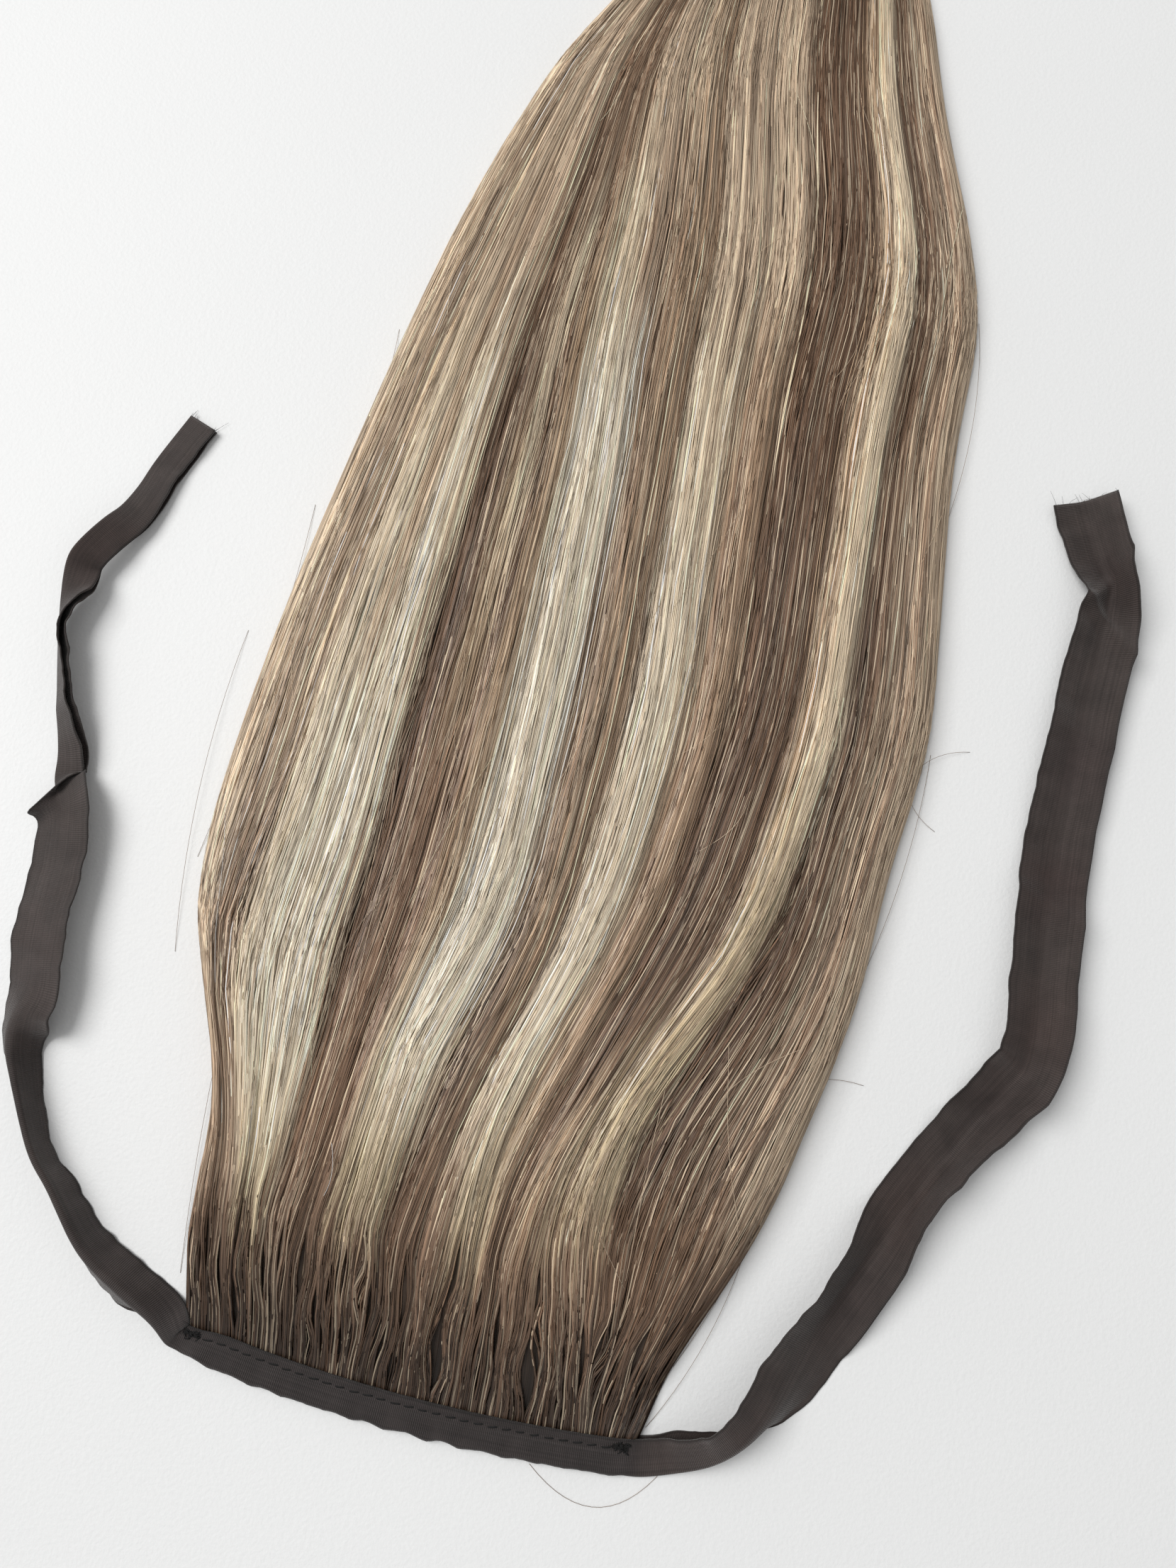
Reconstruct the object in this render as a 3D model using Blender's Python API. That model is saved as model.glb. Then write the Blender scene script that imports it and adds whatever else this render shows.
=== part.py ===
"""Ponytail hairpiece: a wide hair weft sewn into a folded grosgrain ribbon whose ends are free ties.

Metres, +Z up. The origin is the middle of the band, on its back face, which lies on the table.
+X runs along the weft and +Y along the hair, from the weft to its tips.
"""

import bpy
import numpy as np

MM = 0.001

# Driving dimensions, in millimetres
RIBBON_WIDTH = 22.0
HAIR_LENGTH = 560.0
WEFT_WIDTH = 136.0

WALL = 1.0
GAP = 0.3
BAND_HALF = 71.0
BAND_CENTRE = -0.7
BAND_SAG = 4.7
BAND_HEIGHT = 10.0
LEFT_END_NARROWER = 2.4
LEFT_END_LENGTH = 31.0
GATHERS = 13
GATHER_DEPTH = 0.45
WEFT_THICKNESS = 1.0
WEFT_DEPTH = 5.5
WEFT_SHOWING = 5.8
CLOSED_SPACE = 0.5
FLAP = RIBBON_WIDTH / 2
TIGHT_FOLD = 1.2
OPEN_FOLD = 3.6
SQUARE_LENGTH = 14.0
LEAST_HEIGHT = 0.62 * WALL

HAIR_START = 8.9
ROOT_PROUD = 0.4
EDGE_FLATNESS = 0.24
LOCK_BED = 1.6
LEAST_BED = 0.4
EDGE_SUNK = 0.15
LEAVING_LENGTH = 34.0
BLUNT_LENGTH = 14.0
TIP_LENGTH = 62.0
END_WIDTH = 0.4
END_HEIGHT = 0.4
LAID_CLOSE = 1.35

LEFT_TIE_STATIONS = 53
RIGHT_TIE_STATIONS = 36
BAND_STATIONS = 46
WEFT_STATIONS = 22
BODY_STATIONS = 26
BODY_ACROSS = 13
LOCK_STATIONS = 28

# The fold line of each tie in millimetres, and the tilt of the ribbon's two halves on either side
# of it in degrees: 0 points level towards the hair, 90 up, and -90 down.
TIE_COLUMNS = ("x", "y", "z", "front", "back")
LEFT_TIE = (
    (-71.3, -0.4, 1.4, 9, 0),
    (-76.9, 5.7, 5.0, -20, -72),
    (-85.3, 12.4, 9.0, -52, -120),
    (-101.5, 21.4, 10.2, -64, -112),
    (-115.9, 36.2, 10.8, -78, -104),
    (-124.4, 44.3, 10.6, -78, -104),
    (-134.3, 59.7, 10.4, -76, -106),
    (-141.1, 72.4, 10.0, -48, -114),
    (-142.0, 81.1, 8.8, 4, -131),
    (-141.3, 90.0, 6.2, 21, -150),
    (-144.9, 109.1, 5.6, 24, -155),
    (-146.7, 131.2, 5.6, 24, -155),
    (-149.7, 143.8, 5.4, 24, -156),
    (-152.8, 148.4, 4.0, 18, -240),
    (-156.5, 152.4, 2.4, 12, -330),
    (-157.8, 159.3, 2.0, 16, -336),
    (-159.9, 165.9, 1.8, 30, -323),
    (-163.2, 174.8, 1.6, 44, -309),
    (-167.8, 189.4, 1.6, 55, -298),
    (-171.5, 202.0, 1.6, 57, -296),
    (-172.8, 211.5, 4.6, 24, -330),
    (-172.6, 217.7, 8.0, -12, -366),
    (-172.4, 224.3, 9.0, -26, -380),
    (-169.4, 231.3, 9.0, -26, -380),
    (-165.2, 239.2, 8.0, -24, -378),
    (-162.9, 244.5, 5.4, -14, -368),
    (-160.8, 253.8, 2.4, -1, -355),
    (-158.5, 264.2, 1.4, 0, -354),
    (-152.0, 282.0, 1.4, 0, -354),
)
RIGHT_TIE = (
    (71.3, -0.8, 1.4, 9, 0),
    (79.5, 2.2, 1.8, 10, -2),
    (90.0, 8.5, 6.0, 28, -35),
    (97.5, 16.5, 9.5, 24, -80),
    (103.0, 25.5, 8.5, 16, -120),
    (108.0, 38.0, 5.0, 26, -150),
    (112.0, 49.0, 3.0, 42, -172),
    (116.5, 58.5, 1.6, 52, -200),
    (124.0, 74.0, 1.4, 36, -220),
    (133.0, 92.0, 1.4, 2, -256),
    (142.0, 109.5, 1.4, 2, -245),
    (151.5, 125.5, 2.0, 10, -232),
    (157.5, 137.0, 3.5, 6, -225),
    (159.0, 148.0, 4.5, 17, -220),
    (157.5, 173.5, 3.0, 20, -214),
    (156.0, 196.0, 1.4, 14, -210),
    (156.0, 224.5, 1.4, 16, -208),
    (157.0, 255.0, 1.4, 18, -210),
    (158.5, 283.0, 1.8, 20, -222),
    (158.0, 295.0, 3.0, 30, -250),
    (153.0, 306.0, 1.6, 14, -235),
    (144.5, 324.5, 1.4, 8, -210),
)

# The outline of the hair across the weft's direction, and the height of its crown, in millimetres
HAIR_COLUMNS = ("along", "left", "right", "crown")
HAIR_SECTIONS = (
    (6, -67.5, 67.5, 3.2),
    (25, -73.0, 72.0, 8.5),
    (45, -75.5, 80.0, 12.0),
    (60, -76.5, 86.0, 14.0),
    (80, -82.0, 92.0, 15.5),
    (100, -91.0, 96.0, 16.5),
    (120, -99.0, 100.0, 16.5),
    (145, -103.0, 103.5, 16.0),
    (185, -103.0, 105.0, 15.0),
    (230, -100.5, 109.0, 14.0),
    (280, -95.0, 104.0, 13.0),
    (330, -89.0, 98.5, 12.0),
    (380, -81.0, 97.0, 11.0),
    (415, -73.0, 87.0, 10.5),
    (445, -64.0, 75.0, 10.0),
    (475, -50.0, 65.0, 9.0),
    (505, -38.0, 57.0, 8.0),
    (535, -29.0, 50.0, 6.5),
    (570, -20.0, 42.0, 5.0),
)

# How the hair flows from the weft to its tips. Each line is named by its place across the belly,
# from 0 at the left edge to 1 at the right, and a row gives every line's place at one distance
# along the hair.
FLOW_LINES = (0.0, 0.085, 0.25, 0.32, 0.443, 0.525, 0.615, 0.74, 0.84, 0.957, 1.0)
FLOW = (
    (5, 0.0, 0.075, 0.165, 0.222, 0.380, 0.455, 0.570, 0.705, 0.885, 0.975, 1.0),
    (25, 0.0, 0.070, 0.165, 0.220, 0.370, 0.447, 0.560, 0.680, 0.837, 0.960, 1.0),
    (40, 0.0, 0.062, 0.160, 0.218, 0.350, 0.420, 0.537, 0.630, 0.777, 0.940, 1.0),
    (50, 0.0, 0.055, 0.158, 0.218, 0.335, 0.407, 0.520, 0.600, 0.740, 0.930, 1.0),
    (60, 0.0, 0.045, 0.162, 0.222, 0.333, 0.407, 0.507, 0.590, 0.710, 0.920, 1.0),
    (75, 0.0, 0.037, 0.176, 0.235, 0.340, 0.420, 0.504, 0.597, 0.693, 0.910, 1.0),
    (85, 0.0, 0.036, 0.194, 0.250, 0.353, 0.435, 0.513, 0.613, 0.698, 0.910, 1.0),
    (100, 0.0, 0.041, 0.222, 0.280, 0.375, 0.465, 0.537, 0.645, 0.720, 0.920, 1.0),
    (125, 0.0, 0.065, 0.248, 0.315, 0.427, 0.510, 0.580, 0.682, 0.768, 0.940, 1.0),
    (150, 0.0, 0.083, 0.262, 0.327, 0.452, 0.529, 0.605, 0.714, 0.812, 0.950, 1.0),
    (175, 0.0, 0.089, 0.260, 0.325, 0.454, 0.531, 0.617, 0.735, 0.836, 0.957, 1.0),
    (200, 0.0, 0.085, 0.250, 0.320, 0.443, 0.525, 0.615, 0.740, 0.840, 0.957, 1.0),
    (250, 0.0, 0.080, 0.234, 0.302, 0.420, 0.507, 0.594, 0.738, 0.837, 0.957, 1.0),
    (300, 0.0, 0.080, 0.218, 0.292, 0.403, 0.493, 0.582, 0.735, 0.845, 0.957, 1.0),
    (350, 0.0, 0.080, 0.204, 0.264, 0.366, 0.470, 0.560, 0.731, 0.849, 0.958, 1.0),
    (400, 0.0, 0.078, 0.189, 0.243, 0.327, 0.435, 0.528, 0.726, 0.845, 0.960, 1.0),
    (450, 0.0, 0.070, 0.160, 0.205, 0.268, 0.380, 0.478, 0.708, 0.828, 0.951, 1.0),
    (490, 0.0, 0.062, 0.135, 0.171, 0.222, 0.320, 0.420, 0.680, 0.818, 0.948, 1.0),
    (570, 0.0, 0.058, 0.120, 0.150, 0.200, 0.285, 0.385, 0.650, 0.800, 0.942, 1.0),
)

# Each lock between two flow lines, how far it stands proud of the hair under it in millimetres,
# and how far from the weft it begins and ends
LOCK_COLUMNS = ("from_line", "to_line", "rise", "begins", "ends")
LOCKS = (
    (0.004, 0.080, 1.6, 22, 534),
    (0.092, 0.172, 2.0, 14, 541),
    (0.165, 0.252, 2.6, 30, 552),
    (0.268, 0.330, 1.5, 18, 543),
    (0.338, 0.396, 1.2, 40, 556),
    (0.400, 0.488, 3.2, 24, 562),
    (0.496, 0.552, 1.4, 34, 549),
    (0.560, 0.652, 2.6, 16, 558),
    (0.660, 0.704, 1.4, 30, 545),
    (0.716, 0.790, 1.2, 20, 556),
    (0.800, 0.872, 2.8, 36, 549),
    (0.884, 0.930, 1.1, 24, 540),
    (0.940, 0.996, 1.5, 16, 532),
)

# Colours are linear, roughness and metallic from 0 to 1
FINISHES = {
    "ribbon": ((0.055, 0.043, 0.040), 0.75, 0.0),
    "hair": ((0.300, 0.215, 0.150), 0.50, 0.0),
}


def clear_scene():
    for obj in list(bpy.data.objects):
        bpy.data.objects.remove(obj)


def column(table, columns, name):
    return np.array([row[columns.index(name)] for row in table], float)


def through(knots, values, at):
    """A smooth curve through the values: cubic pieces whose slopes are those of the neighbours."""
    slopes = np.gradient(values, knots)
    place = np.clip(np.searchsorted(knots, at) - 1, 0, len(knots) - 2)
    span = knots[place + 1] - knots[place]
    part = (at - knots[place]) / span
    start, end = values[place], values[place + 1]
    return (
        (1 + 2 * part) * (1 - part) ** 2 * start
        + part * (1 - part) ** 2 * span * slopes[place]
        + part**2 * (3 - 2 * part) * end
        + part**2 * (part - 1) * span * slopes[place + 1]
    )


def principled(name):
    colour, roughness, metallic = FINISHES[name]
    material = bpy.data.materials.new(name)
    material.use_nodes = True
    shader = material.node_tree.nodes["Principled BSDF"]
    shader.inputs["Base Color"].default_value = (*colour, 1.0)
    shader.inputs["Roughness"].default_value = roughness
    shader.inputs["Metallic"].default_value = metallic
    return material


def end_faces(around, paired):
    """The end of a loft: one face, or on a ring of two facing sides a strip of faces between them."""
    if not paired:
        return [list(range(around))]
    return [[at, at + 1, around - 2 - at, around - 1 - at] for at in range(around // 2 - 1)]


def loft_object(name, rings, material, paired=True):
    """A closed body through rings of points, each ring in the same order, with both ends filled."""
    count, around = rings.shape[:2]
    first = np.arange(count - 1)[:, None] * around + np.arange(around)[None, :]
    beside = np.arange(count - 1)[:, None] * around + (np.arange(around)[None, :] + 1) % around
    sides = np.stack([first, first + around, beside + around, beside], axis=-1).reshape(-1, 4)
    mesh = bpy.data.meshes.new(name)
    near_end = end_faces(around, paired)
    far_end = [[(count - 1) * around + corner for corner in face[::-1]] for face in near_end]
    mesh.from_pydata((rings.reshape(-1, 3) * MM).tolist(), [], sides.tolist() + near_end + far_end)
    mesh.validate()
    obj = bpy.data.objects.new(name, mesh)
    obj.data.materials.append(material)
    bpy.context.scene.collection.objects.link(obj)
    turn_outwards(mesh)
    mesh.shade_smooth()
    mesh.set_sharp_from_angle(angle=0.9)
    return obj


def turn_outwards(mesh):
    """Flips every face when the body's signed volume says that they point inwards."""
    mesh.calc_loop_triangles()
    points = np.array([vertex.co for vertex in mesh.vertices])
    corners = points[np.array([triangle.vertices for triangle in mesh.loop_triangles])]
    if np.einsum("ij,ij->i", corners[:, 0], np.cross(corners[:, 1], corners[:, 2])).sum() < 0:
        mesh.flip_normals()


def sheet_rings(middle, thickness):
    """Rings round a sheet whose middle surface is a grid: each point moved half a wall either way
    along the surface's own direction, so that the sheet keeps one thickness round its folds."""
    along = np.gradient(middle, axis=0)
    across = np.gradient(middle, axis=1)
    normal = np.cross(along, across)
    normal /= np.linalg.norm(normal, axis=2)[:, :, None]
    upper = middle + normal * thickness / 2
    lower = middle - normal * thickness / 2
    return np.concatenate([upper, lower[:, ::-1]], axis=1)


def tie_middle(table, inwards, stations):
    """The middle surface of a tie: across each station the ribbon's direction turns from its back
    half to its front half in a short arc at the fold line, and the direction is summed up into
    points. The tie leaves the band square to it. The side towards the hair is to the left of the
    path when inwards is 1, and to the right when it is -1."""
    knots = np.arange(len(table), dtype=float)
    at = np.linspace(0, len(table) - 1, stations)
    x, y, z, front, back = (through(knots, column(table, TIE_COLUMNS, name), at) for name in TIE_COLUMNS)
    ahead = np.stack([np.gradient(x), np.gradient(y)], axis=1)
    ahead /= np.linalg.norm(ahead, axis=1)[:, None]
    inward = np.stack([-ahead[:, 1], ahead[:, 0]], axis=1) * inwards
    away = np.clip(np.hypot(x - x[0], y - y[0]) / SQUARE_LENGTH, 0, 1)[:, None]
    inward = inward * away + np.array([0.0, 1.0]) * (1 - away)
    inward /= np.linalg.norm(inward, axis=1)[:, None]

    turn = front - (back + 180)
    openness = (1 - np.abs(turn) / 180).clip(0, 1)
    arc = TIGHT_FOLD + (OPEN_FOLD - TIGHT_FOLD) * openness
    parts = np.array([-1, -0.5, 0, 0.5, 1])
    width = np.concatenate(
        [
            np.tile([-FLAP, -0.62 * FLAP], (stations, 1)),
            arc[:, None] * parts[None, :],
            np.tile([0.62 * FLAP, FLAP], (stations, 1)),
        ],
        axis=1,
    )
    middle_width = (width[:, 1:] + width[:, :-1]) / 2
    share = ((middle_width / arc[:, None]).clip(-1, 1) + 1) / 2
    heading = np.radians(back[:, None] + 180 + turn[:, None] * share)
    step = np.diff(width, axis=1)
    sideways = np.cumsum(np.pad(np.cos(heading) * step, ((0, 0), (1, 0))), axis=1)
    upwards = np.cumsum(np.pad(np.sin(heading) * step, ((0, 0), (1, 0))), axis=1)
    fold = width.shape[1] // 2
    sideways -= sideways[:, fold : fold + 1]
    upwards -= upwards[:, fold : fold + 1]

    points = np.empty((*sideways.shape, 3))
    points[:, :, 0] = x[:, None] + inward[:, 0:1] * sideways
    points[:, :, 1] = y[:, None] + inward[:, 1:2] * sideways
    points[:, :, 2] = np.maximum(z[:, None] + upwards, LEAST_HEIGHT)
    return points


def build_tie(name, table, inwards, stations, material):
    return loft_object(name, sheet_rings(tie_middle(table, inwards, stations), WALL), material)


def band_line(x):
    """The band sags in a shallow curve between its two ends."""
    return BAND_CENTRE + BAND_SAG * (x / BAND_HALF) ** 2


def band_height(x):
    """The fold rises towards the left end, so the band is narrower there."""
    near_end = np.clip((LEFT_END_LENGTH - BAND_HALF - x) / LEFT_END_LENGTH, 0, 1)
    return BAND_HEIGHT - LEFT_END_NARROWER * near_end**2


def band_space(x):
    """The room between the band's walls: the weft's and its clearance, closing past the weft's ends."""
    weft_room = WEFT_THICKNESS + 2 * GAP
    closing = np.clip((np.abs(x) - WEFT_WIDTH / 2) / (BAND_HALF - WEFT_WIDTH / 2), 0, 1)
    return weft_room + (CLOSED_SPACE - weft_room) * closing


def build_band(material):
    """A flat back wall, a round fold along the lower edge and a front wall, all one folded sheet.
    Gathers are waves of the fold and of the front wall above it."""
    x = np.linspace(-BAND_HALF, BAND_HALF, BAND_STATIONS)
    centre, height, space = band_line(x), band_height(x), band_space(x)
    low, high = centre - height / 2, centre + height / 2
    gather = GATHER_DEPTH * np.sin(np.pi * GATHERS * x / BAND_HALF) * np.cos(np.pi * x / BAND_HALF / 2.1)
    outer_top = 2 * WALL + space
    radius = outer_top / 2
    turn = np.radians(np.linspace(-90, -270, 7))

    def ring(y_parts, z_parts):
        return np.stack([np.tile(x[:, None], (1, y_parts.shape[1])), y_parts, z_parts], axis=2)

    fold_y = low[:, None] + gather[:, None] + radius[:, None] * (1 + np.cos(turn))
    fold_z = radius[:, None] * (1 + np.sin(turn))
    back = ring(np.stack([high, centre], axis=1), np.zeros((BAND_STATIONS, 2)))
    outer_fold = ring(fold_y, fold_z)
    swell = np.stack([outer_top + 0.5 * gather + 0.2, outer_top + 0.6 * gather + 0.3, outer_top], axis=1)
    front_y = np.stack([centre - 0.2 * height, centre + 0.15 * height, high], axis=1)
    front = ring(front_y, swell)
    inner_radius = space / 2
    inner_front = ring(np.stack([high, centre], axis=1), np.stack([outer_top - WALL] * 2, axis=1))
    inner_y = low[:, None] + gather[:, None] + WALL + inner_radius[:, None] * (1 + np.cos(turn[::-1]))
    inner_z = WALL + inner_radius[:, None] * (1 + np.sin(turn[::-1]))
    inner_fold = ring(inner_y, inner_z)
    inner_back = ring(np.stack([centre, high], axis=1), np.full((BAND_STATIONS, 2), WALL))
    rings = np.concatenate([back, outer_fold, front, inner_front, inner_fold, inner_back], axis=1)
    return loft_object("band", rings, material, paired=False)


def build_weft(material):
    """The sewn strip that the hair hangs from, inside the band and out past its open edge."""
    x = np.linspace(-WEFT_WIDTH / 2, WEFT_WIDTH / 2, WEFT_STATIONS)
    top = band_line(x) + band_height(x) / 2
    low_z = WALL + GAP
    high_z = low_z + WEFT_THICKNESS
    rings = np.empty((len(x), 4, 3))
    rings[:, :, 0] = x[:, None]
    rings[:, 0, 1] = rings[:, 1, 1] = top - WEFT_DEPTH
    rings[:, 2, 1] = rings[:, 3, 1] = top + WEFT_SHOWING
    rings[:, 0, 2] = rings[:, 3, 2] = low_z
    rings[:, 1, 2] = rings[:, 2, 2] = high_z
    return loft_object("hair", rings, material)


def place_of(line, along):
    """Where a flow line lies across the hair at each distance along it, from 0 to 1."""
    knots = np.array([row[0] for row in FLOW], float)
    places = np.stack([through(knots, np.array(values), along) for values in list(zip(*FLOW))[1:]])
    return np.array([np.interp(line, FLOW_LINES, at) for at in places.T])


def hair_surface(place, along):
    """The point on top of the hair at a place across it: between the two edges of its outline, and
    as high as a flat-topped mound over them. It leaves the weft thin and thins out to its tips."""
    knots = column(HAIR_SECTIONS, HAIR_COLUMNS, "along")
    left, right, crown = (
        through(knots, column(HAIR_SECTIONS, HAIR_COLUMNS, name), along)[:, None] for name in HAIR_COLUMNS[1:]
    )
    x = left + place * (right - left)
    at = along[:, None] * np.ones_like(place)
    y = at + (band_line(x) - band_line(0)) * np.clip(1 - at / HAIR_LENGTH * 3, 0, 1)
    mound = np.sqrt(np.clip(1 - (2 * place - 1) ** 4, 0, 1))
    z = crown * (EDGE_FLATNESS + (1 - EDGE_FLATNESS) * mound)
    leaving = np.clip((at - HAIR_START) / LEAVING_LENGTH, 0, 1)
    root_height = WALL + GAP + WEFT_THICKNESS + ROOT_PROUD
    return np.stack([x, y, root_height + (z - root_height) * np.sqrt(leaving)], axis=2)


def under_side(top, along):
    """The hair rests on the table, and lifts off it to the weft's height over its first stretch."""
    lift = 1 - np.clip((along - HAIR_START) / LEAVING_LENGTH, 0, 1)[:, None]
    under = top.copy()
    under[:, :, 2] = (WALL + GAP + 0.1) * lift
    return under


def body_rings(stations):
    """The hair under the locks: a mound over the whole outline, narrower at its blunt end."""
    length = HAIR_LENGTH - HAIR_START - BLUNT_LENGTH
    along = HAIR_START + length * np.linspace(0, 1, stations) ** LAID_CLOSE
    across = 0.5 - 0.5 * np.cos(np.linspace(0, np.pi, BODY_ACROSS))
    nearing_end = np.clip((along - along[-1] + TIP_LENGTH) / TIP_LENGTH, 0, 1)[:, None]
    place = 0.5 + (across[None, :] - 0.5) * (1 - 0.25 * nearing_end**2)
    top = hair_surface(place, along)
    top[:, :, 2] *= 1 - (1 - END_HEIGHT) * nearing_end**2
    under = under_side(top, along)
    under[:, 0, 0] += 1.0
    under[:, -1, 0] -= 1.0
    return np.concatenate([top, under[:, ::-1]], axis=1)


def lock_rings(lock, stations):
    """A lock is a flat-bottomed lens carried along the hair between its two flow lines. It begins
    and ends as a point, and is bedded a little into the hair under it."""
    value = dict(zip(LOCK_COLUMNS, lock))
    part = np.linspace(0, 1, stations)
    along = value["begins"] + (value["ends"] - value["begins"]) * part**LAID_CLOSE
    edges = place_of((value["from_line"], value["to_line"]), along)
    middle, half = edges.mean(axis=1), (edges[:, 1] - edges[:, 0]) / 2
    taper = np.sin(np.pi / 2 * np.clip((value["ends"] - along) / TIP_LENGTH, 0, 1))
    growing = np.sqrt(np.clip((along - value["begins"]) / LEAVING_LENGTH, 0, 1))
    half = half * (END_WIDTH + (1 - END_WIDTH) * taper)
    across = np.array([-1, -0.66, 0.0, 0.66, 1])
    surface = hair_surface(middle[:, None] + half[:, None] * across, along)
    nearing_end = np.clip((along - value["ends"] + TIP_LENGTH) / TIP_LENGTH, 0, 1)[:, None]
    surface[:, :, 2] *= 1 - (1 - END_HEIGHT) * nearing_end**2
    top, bed = surface.copy(), surface[:, ::-1].copy()
    rise = value["rise"] * growing * (END_HEIGHT + (1 - END_HEIGHT) * taper)
    top[:, :, 2] += rise[:, None] * (1 - across**2) - EDGE_SUNK
    bed[:, :, 2] = np.maximum(bed[:, :, 2] - LOCK_BED, LEAST_BED * bed[:, :, 2])
    return np.concatenate([top, bed], axis=1)


def build_hair(material):
    """The weft strip with the body of the hair and every lock fused to it."""
    hair = build_weft(material)
    locks = bpy.data.collections.new("locks")
    bpy.context.scene.collection.children.link(locks)
    rings = [body_rings(BODY_STATIONS)] + [lock_rings(lock, LOCK_STATIONS) for lock in LOCKS]
    for number, ring in enumerate(rings):
        piece = loft_object(f"lock_{number}", ring, material)
        bpy.context.scene.collection.objects.unlink(piece)
        locks.objects.link(piece)
        piece.hide_render = True
        piece.display_type = "WIRE"
    fuse = hair.modifiers.new("fuse locks", "BOOLEAN")
    fuse.operation = "UNION"
    fuse.operand_type = "COLLECTION"
    fuse.collection = locks
    fuse.solver = "EXACT"
    return hair


def main():
    clear_scene()
    ribbon = principled("ribbon")
    hair = principled("hair")
    build_band(ribbon)
    build_tie("left_tie", LEFT_TIE, -1, LEFT_TIE_STATIONS, ribbon)
    build_tie("right_tie", RIGHT_TIE, 1, RIGHT_TIE_STATIONS, ribbon)
    build_hair(hair)


main()
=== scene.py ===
"""Ponytail hairpiece: the finished looks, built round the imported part.

Metres, +Z up. The origin is the middle of the band, on its back, which lies on the table. +X runs
along the weft, and +Y along the hair. The tables are in millimetres and repeat the part's own.
"""

import bpy
import numpy as np
from mathutils import Matrix, Vector


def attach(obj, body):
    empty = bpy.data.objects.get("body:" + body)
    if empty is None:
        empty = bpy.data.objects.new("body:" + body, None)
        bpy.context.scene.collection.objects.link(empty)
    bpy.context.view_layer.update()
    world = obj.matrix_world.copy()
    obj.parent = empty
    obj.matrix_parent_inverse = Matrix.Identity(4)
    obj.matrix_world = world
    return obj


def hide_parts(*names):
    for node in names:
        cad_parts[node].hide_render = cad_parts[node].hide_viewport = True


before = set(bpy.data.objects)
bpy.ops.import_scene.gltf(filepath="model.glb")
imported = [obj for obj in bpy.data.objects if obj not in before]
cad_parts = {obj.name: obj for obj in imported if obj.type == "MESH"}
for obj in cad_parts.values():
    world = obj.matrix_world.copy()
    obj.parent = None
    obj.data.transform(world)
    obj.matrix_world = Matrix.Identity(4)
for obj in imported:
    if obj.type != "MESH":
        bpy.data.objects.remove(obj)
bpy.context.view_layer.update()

bl_info = {
    "name": "Ponytail Hairpiece",
    "version": (1, 0, 0),
    "blender": (4, 5, 0),
    "location": "3D View > Sidebar > Hairpiece",
    "description": "Builds a ribbon-tie ponytail hairpiece: ribbon, stitching, hair and stage",
    "category": "Add Mesh",
}

MM = 0.001

# The band, in millimetres
BAND_HALF = 71.0
BAND_CENTRE = -0.7
BAND_SAG = 4.7
BAND_HEIGHT = 10.0
LEFT_END_NARROWER = 2.4
LEFT_END_LENGTH = 31.0
BAND_FOLD = 2.2
TIGHT_FOLD = 0.75
OPEN_FOLD = 3.6
GATHERS = 13
CLOTH_REST = 0.24
WARP_PITCH = 0.31
FOLD_LOWERED = 0.4
STITCH_ROW = 2.7
STITCH_STATIONS = 9
FRAY_STATIONS = 7
# The knots at the two ends of the row: their place along the band, spread and number of threads
BACK_TACKS = ((-65.5, 2.4, 34), (65.0, 2.9, 40))
# The frayed ends: the ribbon's last station, the one before it, and the number of threads
FRAYS = ((0, 1, 12), (-1, -2, 16))

# How finely the ribbon is laid out, in millimetres and stations, and how far its path is smoothed
STATION_STEP = 1.3
SMOOTHED_OVER = 6
SMOOTHED_BY = 1.3
CLOTH_ACROSS = 37
EDGE_ROW = 0.35

# Where a tie is creased across: the place of the crease on the fold line in millimetres, how far it
# stands up or dips, its reach along the ribbon, and how far it slants over the ribbon's width
CREASES = (
    (141.0, 108.0, 1.5, 9.0, 0.5),
    (150.0, 123.5, -1.3, 7.0, -0.5),
    (157.6, 137.5, 2.2, 8.0, 0.35),
    (158.6, 163.0, -0.7, 8.0, -0.3),
    (157.0, 189.0, 1.6, 9.0, 0.4),
    (156.2, 211.0, -0.8, 9.0, -0.4),
    (156.8, 246.0, 0.9, 9.0, 0.3),
    (158.4, 283.0, 1.8, 5.0, 0.8),
    (157.0, 298.0, 1.6, 5.0, -0.8),
    (-143.0, 100.0, 0.8, 8.0, 0.4),
    (-146.5, 126.0, -0.7, 8.0, -0.5),
    (-163.0, 174.0, 0.6, 7.0, 0.4),
)
# The left tie's half that folds over lies pressed down here
PRESSED_AT = (-154.0, 150.0)
PRESSED_REACH = 7.0
PRESSED_BY = 0.75

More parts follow.
